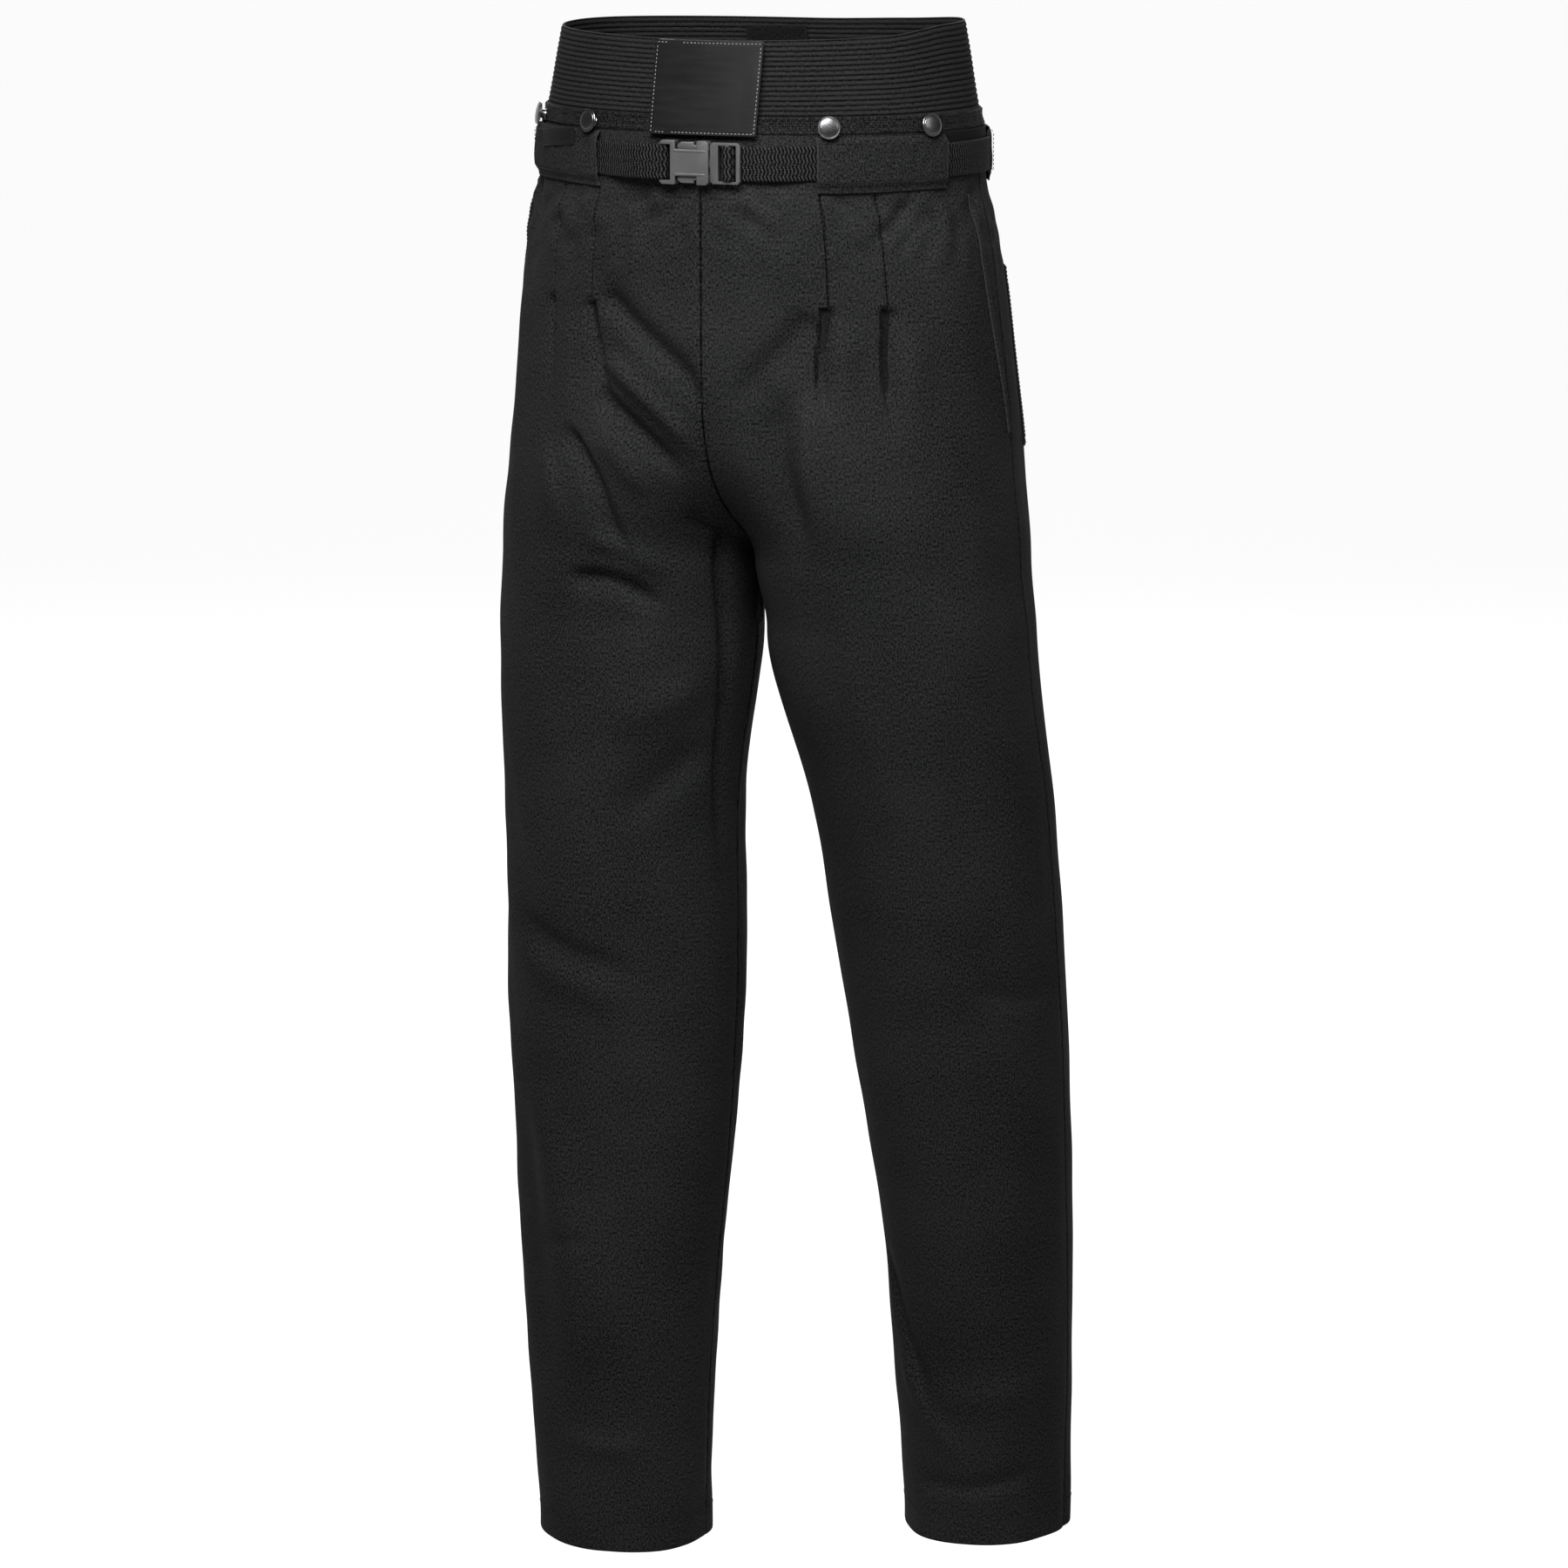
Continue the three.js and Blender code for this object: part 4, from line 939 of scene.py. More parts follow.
# ---------------------------------------------------------------- how the leg cloth hangs
@dataclass(frozen=True)
class Fold:
    """A ridge, or a valley if its height is negative, along a line of (angle in degrees, height) places.

    Its section is a bell of its height, with its own width on each side of the line, and it fades over a share
    of its length at its start and its end."""

    line: tuple[tuple[float, float], ...]
    height: float
    narrow: float
    wide: float
    fade: tuple[float, float] = (0.3, 0.35)
    # Painted shade along the line: below 0 darkens the cloth's colour there.
    painted_shading: float = 0.0

    def eased(self) -> tuple[Array, Array]:
        """Returns the line's angles and heights with its corners rounded: each place moves to a quarter of each
        neighbour and half of itself, twelve times, and the ends stay."""
        line = np.array(self.line, float)
        spots = np.linspace(0, len(line) - 1, 9 if len(line) > 2 else 2)
        line = sampled(spots, np.arange(len(line)), line)
        for _ in range(12):
            line[1:-1] = (line[:-2] + 2 * line[1:-1] + line[2:]) / 4
        return line[:, 0], line[:, 1]

    def raised(self, body: Body, leg: Leg, across: Array, z: Array) -> tuple[Array, Array]:
        """The fold's effect at each place on the cloth.

        Args:
            body: The body that the cloth hangs on.
            leg: The leg.
            across: Distances round the leg from its side seam, in mm.
            z: Heights in mm.

        Returns:
            How far it moves the cloth outwards, in mm, and the painted shade that it lays along its line.
        """
        angles, heights = self.eased()
        spots = np.stack([body.arc(leg, np.radians(angles), heights), heights], -1)
        run = run_along(spots)
        lengths, before = np.diff(run), run / run[-1]
        nearest = np.full(np.broadcast(across, z).shape, 1e9)
        share, turned = np.zeros(nearest.shape), np.zeros(nearest.shape)
        for i, (start, end) in enumerate(zip(spots[:-1], spots[1:])):
            step = (end - start) / lengths[i]
            u, v = across - start[0], z - start[1]
            along = np.clip(u * step[0] + v * step[1], 0, lengths[i])
            away = np.hypot(u - along * step[0], v - along * step[1])
            closer = away < nearest
            nearest = np.where(closer, away, nearest)
            share = np.where(closer, before[i] + along / lengths[i] * (before[i + 1] - before[i]), share)
            turned = np.where(closer, u * step[1] - v * step[0], turned)
        width = np.where(turned > 0, self.narrow, self.wide)
        ends = smooth(share / max(self.fade[0], 1e-3)) * smooth((1 - share) / max(self.fade[1], 1e-3))
        return self.height * ends * bell(nearest, width), self.painted_shading * ends * bell(nearest, 0.8)


# Angles run from -180 at the inside of the leg over -90 at the front to 0 at the side seam.
SHARED_FOLDS = (
    # The pleats' stitched lines: shallow grooves whose last number paints shade, darkening the colour along
    # them.
    Fold(((-60, 1076), (-60, 992)), -0.75, 0.8, 1.2, (0.0, 0.02), -1.1),
    Fold(((-45, 1076), (-45, 992)), -0.75, 0.8, 1.2, (0.0, 0.02), -1.1),
)
LEFT_FOLDS = SHARED_FOLDS + (
    Fold(((-61, 995), (-63, 959), (-66, 905)), -5.0, 2.0, 7.5, (0.04, 0.5)),
    Fold(((-55, 990), (-57, 945), (-62, 880)), 3.0, 13.0, 10.0, (0.3, 0.6)),
    Fold(((-46, 994), (-47, 959), (-49, 900)), -4.8, 2.0, 9.0, (0.04, 0.5)),
    Fold(((-38, 990), (-40, 930), (-46, 860)), 2.6, 14.0, 14.0, (0.3, 0.6)),
    Fold(((-63, 992), (-73, 950), (-90, 912)), -4.2, 10.0, 13.0, (0.15, 0.35)),
    Fold(((-70, 938), (-89, 863), (-114, 790)), -6.0, 20.0, 7.5, (0.25, 0.4)),
    Fold(((-64, 940), (-73, 896), (-84, 857), (-97, 815)), 4.2, 6.0, 17.0, (0.3, 0.5)),
    Fold(((-33, 1074), (-42, 1052), (-50, 1034)), -2.2, 5.0, 5.0, (0.1, 0.4)),
    Fold(((-30, 1062), (-38, 1040), (-45, 1022)), -1.6, 5.0, 5.0, (0.1, 0.4)),
    Fold(((-92, 830), (-92, 700), (-91, 560)), 1.2, 10.0, 16.0),
    Fold(((-150, 250), (-132, 170), (-100, 92)), -3.4, 5.0, 11.0),
    Fold(((-140, 165), (-112, 100), (-80, 64)), 2.4, 8.0, 10.0),
    Fold(((-135, 50), (-80, 38), (-25, 64)), -2.2, 5.0, 10.0),
    Fold(((-120, 128), (-70, 118), (-20, 140)), 1.4, 14.0, 12.0),
    Fold(((-60, 470), (-30, 452), (0, 462)), -1.6, 8.0, 14.0),
    Fold(((-50, 720), (-52, 480), (-60, 250)), -1.8, 22.0, 26.0),
    Fold(((120, 480), (80, 455), (40, 470)), -2.6, 8.0, 14.0),
    Fold(((120, 440), (80, 425), (40, 436)), 2.0, 10.0, 10.0),
)
RIGHT_FOLDS = SHARED_FOLDS + (
    Fold(((-60, 994), (-62, 941), (-71, 902), (-82, 875)), -4.4, 2.2, 8.0, (0.04, 0.5)),
    Fold(((-45, 994), (-46, 950), (-49, 905)), -3.6, 2.2, 8.0, (0.04, 0.6)),
    Fold(((-52, 985), (-54, 930), (-60, 870)), 2.4, 12.0, 14.0, (0.3, 0.6)),
    Fold(((-62, 1002), (-77, 962), (-93, 926), (-106, 897)), -5.4, 10.0, 7.0, (0.12, 0.3)),
    Fold(((-64, 955), (-73, 934), (-87, 912), (-110, 874)), 4.4, 7.0, 7.0, (0.2, 0.3)),
    Fold(((-64, 928), (-74, 908), (-93, 886), (-112, 860)), -5.0, 6.0, 9.0, (0.15, 0.3)),
    Fold(((-70, 900), (-86, 872), (-108, 842)), 3.2, 9.0, 10.0, (0.3, 0.4)),
    Fold(((-58, 898), (-73, 875), (-85, 857), (-104, 812), (-115, 790)), -5.0, 5.0, 10.0, (0.15, 0.35)),
    Fold(((-50, 890), (-66, 850), (-78, 812)), 3.0, 9.0, 14.0, (0.3, 0.5)),
    Fold(((-79, 780), (-99, 795), (-113, 780), (-127, 756)), -5.2, 6.0, 10.0, (0.25, 0.35)),
    Fold(((-86, 812), (-101, 816), (-114, 804), (-128, 780)), 3.0, 9.0, 8.0),
    Fold(((-122, 838), (-137, 821), (-150, 818)), -3.4, 4.0, 7.0),
    Fold(((-155, 655), (-137, 635), (-121, 612), (-102, 585)), -3.2, 13.0, 18.0),
    Fold(((-150, 700), (-128, 690), (-100, 660)), 2.4, 16.0, 14.0),
    Fold(((-144, 850), (-153, 760), (-157, 680), (-162, 600), (-165, 500)), -4.5, 12.0, 3.5, (0.15, 0.5)),
    Fold(((-40, 520), (-75, 486), (-125, 470)), -2.6, 9.0, 16.0),
    Fold(((-40, 496), (-75, 462), (-120, 448)), 2.2, 12.0, 14.0),
    Fold(((-60, 390), (-80, 250), (-95, 110)), 3.0, 30.0, 18.0),
    Fold(((-40, 400), (-52, 250), (-60, 90)), -3.0, 18.0, 26.0),
    Fold(((-95, 258), (-75, 248), (-55, 246)), -1.4, 4.0, 8.0),
    Fold(((-130, 92), (-100, 80), (-60, 96)), 1.8, 10.0, 8.0),
    Fold(((120, 480), (80, 455), (40, 470)), -2.8, 8.0, 14.0),
    Fold(((120, 440), (80, 425), (40, 436)), 2.2, 10.0, 10.0),
)
SEAT_FOLDS = (
    Fold(((150, 812), (120, 850), (80, 866)), -3.4, 8.0, 12.0),
    Fold(((150, 786), (118, 822), (74, 836)), 3.0, 10.0, 12.0),
    Fold(((100, 770), (70, 740), (30, 752)), -2.8, 9.0, 14.0),
    Fold(((62, 1070), (66, 1010), (76, 960)), -2.0, 4.0, 9.0, (0.0, 0.6)),
)


@dataclass
class Drape:
    """How far the cloth of a leg lies off its loop: folds, stitched pleats, seams and a slight unevenness."""

    body: Body
    leg: Leg
    depth: float = 1.6

    def __post_init__(self) -> None:
        """Picks the leg's own folds, seed and fullness under the belt."""
        left = self.leg.name == "left"
        self.folds = (LEFT_FOLDS if left else RIGHT_FOLDS) + SEAT_FOLDS
        self.seed = 3 if left else 8
        self.gathered = 1.0 if left else 1.5

    def to_inner(self, angle: Array, z: Array) -> Array:
        """Returns the distance along the cloth to the inner seam, in mm, up to 400."""
        seam = np.where(angle < 0, -1, 1) * self.body.seam_angle(self.leg, z, 0.15)
        return np.minimum(np.abs(self.body.arc(self.leg, seam, z) - self.body.arc(self.leg, angle, z)), 400)

    def height(self, angle: Array, z: Array) -> Array:
        """The cloth's distance outwards from its loop.

        Args:
            angle: Angles in radians.
            z: Heights in mm.

        Returns:
            Distances in mm.
        """
        angle, z = np.broadcast_arrays(angle, z)
        across = self.body.arc(self.leg, angle, z)
        seed = self.seed
        total = self.depth * sum(fold.raised(self.body, self.leg, across, z)[0] for fold in self.folds)
        total += 0.9 * ripple(across, z * 0.45, 120.0, seed) + 0.35 * ripple(across, z * 0.6, 38.0, seed + 1)
        gathers = 0.8 * ripple(across, z * 0.5, 17.0, seed + 2) + 0.8 * ripple(across, z, 26.0, 5)
        total += self.gathered * smooth((z - 985) / 80) * (1 - smooth((z - 1070) / 14)) * gathers
        total += 0.8 * (1 - smooth(z / 60)) * ripple(across, z * 0.2, 55.0, seed + 3)
        total *= 1 - 0.85 * smooth((z - 1068) / 16)
        to_inner, to_side = self.to_inner(angle, z), np.abs(across)
        sunk = mix(1.0, 2.8, smooth((z - self.body.thigh) / 20) * (1 - smooth((z - 1062) / 16)))
        pucker = np.exp(-to_side / 7) + np.exp(-to_inner / 7)
        total *= smooth(0.15 + to_inner / 12) * smooth(0.35 + to_side / 18)
        total += 0.28 * pucker * ripple(across * 0.2, z, 11.0, seed + 4) * (1 - smooth((z - 1060) / 20))
        grooves = 0.9 * (bell(to_side, 1.2) + sunk * bell(to_inner, 1.3))
        return total - grooves - 0.35 * bell(z - self.body.hem_height, 1.1)

    def painted_shading(self, angle: Array, z: Array) -> Array:
        """Returns the shade that the folds paint on the cloth's colour: below 0, darker, in the pleats'
        stitched lines.
        """
        across = self.body.arc(self.leg, angle, z)
        return sum(fold.raised(self.body, self.leg, across, z)[1] for fold in self.folds if fold.painted_shading)

    def place(self, angle: Array, z: Array, off: Array | float) -> Array:
        """Points on the draped cloth. From just below the thigh's top up, none crosses the middle, and the
        seam's edges are drawn on to it by a bell of their distance from the seam.

        Args:
            angle: Angles in radians.
            z: Heights in mm.
            off: Distances outwards in mm.

        Returns:
            Points in metres.
        """
        angle, z = np.broadcast_arrays(np.asarray(angle, float), np.asarray(z, float))
        points = self.body.on_leg(self.leg, angle, z, self.height(angle, z) + off)
        middle, foot = self.body.axis[0], self.body.thigh - 6
        reach = np.maximum(self.leg.side * (points[..., 0] - middle), 0.05 * MM)
        drawn = bell(self.to_inner(angle, z), 2.5) * smooth((z - foot) / 5)
        joined = middle + self.leg.side * reach * (1 - drawn)
        points[..., 0] = np.where(z > foot, joined, points[..., 0])
        return points


# ---------------------------------------------------------------- legs
@dataclass
class Legs:
    """The four leg panels, the two hems, and the pockets."""

    body: Body
    finishes: Finishes
    cloth: float = 1.6
    columns: int = 128
    dense: tuple[float, ...] = (0.0, 0.333, 0.5, 1.0)
    pleats: tuple[float, ...] = (-60.0, -45.0)
    pleat_foot: float = 994.0

    def shares(self) -> Array:
        """Returns the columns' shares from the inner seam to the side seam, closer at seams and pleats."""
        even = np.linspace(0, 1, 800)
        crowd = 1 + sum(3.0 * bell(even - at, 0.014) for at in self.dense)
        run = np.concatenate([[0], np.cumsum((crowd[1:] + crowd[:-1]) / 2)])
        return np.interp(np.linspace(0, run[-1], self.columns + 1), run, even)

    def heights(self) -> Array:
        """Returns the rows' heights, closer above the crotch and at the hem."""
        above_hem, thigh = self.body.hem_height + 10, self.body.thigh
        return np.concatenate([np.linspace(self.body.hem_height, above_hem, 8)[:-1],
                               np.linspace(above_hem, thigh, 176)[:-1],
                               np.linspace(thigh, self.body.top - 0.3, 132)])

    def panel(self, leg: Leg, drape: Drape, sign: int) -> Object:
        """Builds one panel, from its inner seam to its side seam.

        Args:
            leg: The leg.
            drape: How its cloth lies.
            sign: -1 for the front and 1 for the back.

        Returns:
            The panel.
        """
        z = self.heights()[:, None]
        inner = np.minimum(self.body.seam_angle(leg, z, 0.05), math.pi - 0.0005)
        angle = sign * mix(inner, 0.0005, self.shares()[None, :])
        across = self.body.arc(leg, angle, z)
        height = z + 0 * angle
        edge = np.minimum(np.abs(across), np.abs(across - across[:, :1]))
        centre = smooth((height - self.body.thigh) / 20) * bell(across - across[:, :1], 1.4)
        # Painted shade: the colour is darkened along the pleats' stitched lines, along both seam edges and
        # along the centre seam above the thigh.
        wear_and_shade = drape.painted_shading(angle, height) - 1.3 * bell(edge, 0.7) - 1.6 * centre
        name = f"{'front' if sign < 0 else 'back'}_panel_{leg.name}"
        inside = drape.place(angle, height, 1.2 * centre - self.cloth)
        made = shell(f"{name}_cloth", drape.place(angle, height, 0.0), inside,
                     np.stack([across, height], -1) * MM, wear_and_shade)
        Finishes.on(made, self.finishes.leg, "trousers", "leg_cloth", name)
        rows = self.heights() * MM
        return made

    def hem(self, leg: Leg, drape: Drape) -> Object:
        """Builds a turned-up hem: a ring whose section runs down outside, round the fold and up inside.

        Args:
            leg: The leg.
            drape: How its cloth lies.

        Returns:
            The hem.
        """
        thick = self.cloth
        angle = np.linspace(-math.pi, math.pi, 241)[None, :]
        down = np.linspace(self.body.hem_height, thick, 12)
        turn = np.linspace(0, math.pi, 9)[1:-1]
        heights = np.concatenate([down, thick - thick * np.sin(turn), down[::-1]])[:, None]
        offs = np.concatenate([0 * down, thick * np.cos(turn) - thick, 0 * down - 2 * thick])[:, None]
        ring = drape.place(angle, heights + 0 * angle, offs)
        uv = np.stack(np.broadcast_arrays(self.body.arc(leg, angle, heights), heights - offs), -1) * MM
        points = ring[:, :-1].transpose(1, 0, 2)
        made = swept(f"hem_{leg.name}_cloth", np.concatenate([points, points[:1]]), uv.transpose(1, 0, 2),
                     closed=True, crease=60)
        return Finishes.on(made, self.finishes.leg, "trousers", "leg_cloth", f"hem_{leg.name}")

    def side_pocket(self, leg: Leg, drape: Drape, sewing: Stitching) -> None:
        """Builds a leg's slanted pocket, a bag and a welt, and sews the welt's long edges and ends.

        Args:
            leg: The leg.
            drape: How its cloth lies.
            sewing: The leg's stitching.
        """
        body, finishes = self.body, self.finishes
        low, high, lean = body.up(0.306), body.up(0.855), math.radians(-8)
        end = -math.radians(1.1)
        start = end - 9 / float(body.width(low))
        bag = Patch(f"pocket_bag_{leg.name}_cloth", lambda a, z, off: body.on_leg(leg, a, z, off),
                    (-math.radians(62), -math.radians(10)), (body.up(0.17), body.up(0.818)), -5.9, 0.7, 40, 50)
        made = Finishes.on(bag.build(), finishes.lining, "trousers", "lining", f"pocket_bag_{leg.name}")
        welt = Patch(f"pocket_welt_{leg.name}_cloth", drape.place, (start, end), (low, high), 0.25, 1.3, 14, 60,
                     0.9, lean)
        Finishes.on(welt.build(), finishes.leg, "trousers", "leg_cloth", f"pocket_welt_{leg.name}")
        rise = np.linspace(0, 1, 30)
        for inset in (1.6, 6.2):
            sewing.on(drape.place, start + lean * rise + inset / 195, mix(low + 2, high - 2, rise), 1.55)
        for z in (low + 1.5, high - 1.5):
            first = start + lean * (z - low) / (high - low)
            sewing.on(drape.place, (first + 0.004, first + 0.046), z, 1.7)

    def back_pocket(self, leg: Leg, drape: Drape, sewing: Stitching) -> None:
        """Builds a leg's back patch pocket, which bulges a little, and sews three of its edges and its hem.

        Args:
            leg: The leg.
            drape: How its cloth lies.
            sewing: The leg's stitching.
        """
        low, high = self.body.up(0.256), self.body.up(0.676)
        left, right = math.radians(16), math.radians(62)
        patch = Patch(f"back_pocket_{leg.name}_cloth", drape.place, (left, right), (low, high), 0.25, 1.2,
                      60, 56, 1.0,
                      relief=lambda across, along: 0.35 * np.sin(math.pi * along / 136) * np.sin(across / 47))
        made = Finishes.on(patch.build(), self.finishes.leg, "trousers", "leg_cloth", f"back_pocket_{leg.name}")
        for inset in (2.2, 7.0):
            turn = inset / 190
            sewing.on(drape.place, (left + turn, left + turn, right - turn, right - turn),
                      (high - 1, low + inset, low + inset, high - 1), 1.6, 300)
        sewing.on(drape.place, (left + 0.01, right - 0.01), high - 16, 1.7)

    def seams(self, leg: Leg, drape: Drape, sewing: Stitching) -> None:
        """Sews a leg's hem, its pleats with a bar across each foot, and the left leg's fly edge.

        Args:
            leg: The leg.
            drape: How its cloth lies.
            sewing: The leg's stitching.
        """
        sewing.on(drape.place, np.linspace(-math.pi, math.pi, 200), 22.0, 0.02, 500)
        for angle in np.radians(self.pleats):
            for shift in (-0.9, 0.9):
                sewing.on(drape.place, angle + shift / 170, (self.pleat_foot + 80, self.pleat_foot), -0.1)
            for below in (1.8, 0.6):
                sewing.on(drape.place, angle + np.linspace(-3.2, 3.2, 4) / 170, self.pleat_foot - below, 0.2)
        if leg.side > 0:
            heights = np.linspace(1072, 830, 60)
            inner = -self.body.seam_angle(leg, heights, 0.05)
            sewing.on(drape.place, inner + 3.2 / self.body.loop(leg, heights)[2], heights, 0.0)

    def build(self) -> None:
        """Builds both legs."""
        for leg in (self.body.left, self.body.right):
            drape = Drape(self.body, leg)
            self.panel(leg, drape, -1)
            self.panel(leg, drape, 1)
            self.hem(leg, drape)
            sewing = Stitching(f"leg_stitching_{leg.name}")
            self.side_pocket(leg, drape, sewing)
            self.back_pocket(leg, drape, sewing)
            self.seams(leg, drape, sewing)
            Finishes.on(sewing.build(), self.finishes.thread, "trousers", "leg_cloth")


# ---------------------------------------------------------------- waist: band, tape, tunnels and labels
@dataclass
class Waist:
    """The ribbed band with its sewn tape, the belt tunnels, the waist binding and the labels."""

    body: Body
    finishes: Finishes
    rib_pitch: float = 3.55
    rib_depth: float = 1.05
    slit: float = 0.004
    hemmed: float = 2.6
    rim_lift: Profile = field(default_factory=lambda: Profile(
        (0, -1), (50, 1.5), (80, 8.5), (110, 9.5), (150, 5), (180, 2.5), (255, 4), (300, 2), (360, -1)))

    def ribbed(self, z: Array) -> Array:
        """Returns how far the ribs stand out at a height: rounded ridges with narrow grooves between them."""
        phase = (self.body.rim - 1.2 - z) / self.rib_pitch
        return self.rib_depth * (np.abs(np.sin(math.pi * phase)) ** 0.55 - 1)

    def band(self) -> Object:
        """Builds the band, whose slit at the front is behind the tab and whose rim lifts unevenly."""
        body = self.body
        z = np.linspace(body.top + 0.3, body.rim, 165)[:, None]
        angle = np.linspace(self.slit, 2 * math.pi - self.slit, 301)[None, :]
        sway = 0.7 * ripple(angle * 150, z * 0.3, 90.0, 21) * smooth((z - body.top - 20) / 30)
        tapered = rounded(body.rim - z, 1.3)
        outer = body.on_band(angle, z + 0 * angle, -0.7 + sway + (1.3 + self.ribbed(z)) * tapered)
        inner = body.on_band(angle, z + 0 * angle, -0.7 + sway - (1.3 + self.ribbed(z)) * tapered)
        uv = np.stack(np.broadcast_arrays(angle * 148, z), -1) * MM
        # Painted shading: the colour is darkened in the rib grooves and lightened on the ridges, and paler at
        # the rim.
        painted_shading = 1.1 + 2.6 * self.ribbed(z) / self.rib_depth + 0.3 * np.exp(-(body.rim - z) / 2)
        raised = MM * self.rim_lift(np.degrees(angle)) * (z - body.top) / body.band_height
        for face in (outer, inner):
            face[..., 2] += raised
        made = shell("waist_band_cloth", outer, inner, uv, painted_shading + 0 * angle)
        return Finishes.on(made, self.finishes.rib, "trousers", "rib_elastic", "ribbed_band")

    def tape(self, sewing: Stitching) -> Object:
        """Builds the tape along the band's foot, corded at both edges, with two rows of cover stitch.

        Args:
            sewing: The waist's stitching.

        Returns:
            The tape.
        """
        body, low, high = self.body, self.body.top + 0.5, self.body.top + 13
        z = mix(low, high, spaced(30))[:, None]
        angle = np.linspace(self.slit, 2 * math.pi - self.slit, 301)[None, :]
        cords = sum(0.45 * bell(z - at, 1.1) for at in (low + 1.4, high - 1.6))
        wave = 0.25 * ripple(angle * 165, z, 14.0, 31)
        half = 0.55 * rounded(np.minimum(z - low, high - z), 0.6)
        outer = body.on_band(angle, z + 0 * angle, 1.45 + half + cords + wave)
        inner = body.on_band(angle, z + 0 * angle, 1.45 - half + 0 * wave)
        uv = np.stack(np.broadcast_arrays(angle * 166, z), -1) * MM
        made = shell("waist_tape_cloth", outer, inner, uv, 0 * uv[..., 0] - 0.45)
        around = np.linspace(self.slit + 0.02, 2 * math.pi - self.slit - 0.02, 300)
        for at in (low + 3.6, high - 3.8):
            sewing.on(body.on_band, around, at, 2.0, 900)
        return Finishes.on(made, self.finishes.webbing, "trousers", "webbing", "waist_tape")

    def binding(self) -> None:
        """Builds the woven stay tape on the trousers' top edge at each hip, above the belt."""
        for name, first, last in (("left", 66.0, 107.0), ("right", 253.0, 294.0)):
            strip = Patch(f"hip_binding_{name}", self.body.on_waist, (math.radians(first), math.radians(last)),
                          (self.body.top - 15, self.body.top + 0.2), 0.1, 0.9, 60, 14, 0.4)
            Finishes.on(strip.build(), self.finishes.tape, "trousers", "webbing")

    def tunnel(self, name: str, first: float, last: float, sewing: Stitching) -> Object:
        """Builds a belt tunnel: cloth sewn below the belt, carried over it and turned in at the top.

        Args:
            name: The node.
            first: Where it begins, in degrees from the centre front.
            last: Where it ends.
            sewing: Its stitches.

        Returns:
            The tunnel.
        """
        body = self.body
        low, top = body.tunnel_low, body.top - 0.3
        start, end = math.radians(first), math.radians(last)
        section = np.array([(1.6, low - 0.2), (1.75, low + 1.5), (2.3, low + 3.4), (3.6, low + 5.4),
                            (4.3, low + 8), (4.4, low + 14), (4.4, low + 22), (4.3, low + 30),
                            (4.0, top - 4.5), (3.6, top - 2.4), (2.9, top - 1.2), (2.0, top - 0.8),
                            (1.5, top - 1.2)])
        run = run_along(section)
        spots = np.linspace(0, run[-1], 44)
        off, z = sampled(spots, run, section).T[..., None]
        count = int((last - first) * 2.3)
        angle = mix(start, end, spaced(count, 0.3))[None, :]
        across = (angle - start) * 165
        wall = smooth((z - low - 3) / 5) * smooth((top - 2 - z) / 5)
        puckers = 0.3 * ripple(across, z * 0.7, 13.0, 41) + 0.6 * ripple(across, z, 34.0, 42)
        edge = np.minimum(across, across[:, -1:] - across)
        at_back = last > 180
        mouth = (-0.7 if at_back else 0.9) * np.exp(-edge / 5) * wall
        grooves = 0.35 * bell(z - low - 6.6, 0.8) + 0.35 * bell(edge - self.hemmed, 1.0) * wall
        middle = off + wall * puckers * 0.8 + mouth - grooves * wall
        height = z + 0.6 * np.sin(across / 31.0 + first) * (1 - smooth((z - low) / 12))
        half = 0.6 * rounded(np.minimum(edge, 5.0), 0.8)
        outer = body.on_belt_loop(angle, height, middle + half)
        snug = bell(edge, 1.2) * wall if at_back else 0.0
        inner = body.on_belt_loop(angle, height, mix(np.maximum(middle - half, 0.15), 0.2, snug))
        shift = body.on_waist(angle, height, 0.0) - body.on_belt_loop(angle, height, 0.0)
        sunk = (1 - wall)[..., None]
        uv = np.stack(np.broadcast_arrays(across, spots[:, None]), -1) * MM
        # Painted highlight: the cloth is paler within a few mm of each end, which lightens the end walls that
        # lie in shade.
        made = shell(f"{name}_cloth", outer + shift * sunk, inner + shift * sunk, uv,
                     0.8 * np.exp(-edge / 2) + 0 * z)

        def on_wall(at: Array, level: Array, lift: Array | float) -> Array:
            """Returns points on the tunnel's outer face, lift mm outwards."""
            return body.on_belt_loop(at, level, 4.95 + lift + 0 * at)

        inset = self.hemmed / 165
        for level in (low + 6.9, top - 5.2):
            sewing.on(on_wall, (start + inset, end - inset), level, 0.0, 400)
        for at in (start + inset, end - inset):
            sewing.on(on_wall, at, (low + 7, top - 5), 0.6)
        Finishes.on(made, self.finishes.leg, "trousers", "leg_cloth", name)
        return made

    def labels(self, sewing: Stitching) -> None:
        """Builds the two plain woven labels and sews the side one's ends.

        Args:
            sewing: The waist's stitching.
        """
        body = self.body
        inside = Patch("inner_label_cloth", body.on_band, (math.radians(182), math.radians(200)),
                       (body.rim - 29, body.rim - 3), -3.7, 0.6, 30, 20, 0.5)
        Finishes.on(inside.build(), self.finishes.label, "trousers", "label_cloth", "inner_label")

        def tilted(angle: Array, z: Array, off: Array) -> Array:
            """Returns points on the right tunnel, with rows that rise towards the front."""
            return body.on_belt_loop(angle, z + 2.2 * (angle + 0.82) / 0.16, off)

        side = Patch("side_label_cloth", tilted, (math.radians(-56), math.radians(-38)),
                     (body.top - 15, body.top - 2), 5.45, 0.7, 30, 16, 0.5)
        Finishes.on(side.build(), self.finishes.label, "trousers", "label_cloth", "side_label")
        for degrees in (-55.2, -38.8):
            sewing.on(tilted, math.radians(degrees), (body.top - 14, body.top - 3), 6.2)

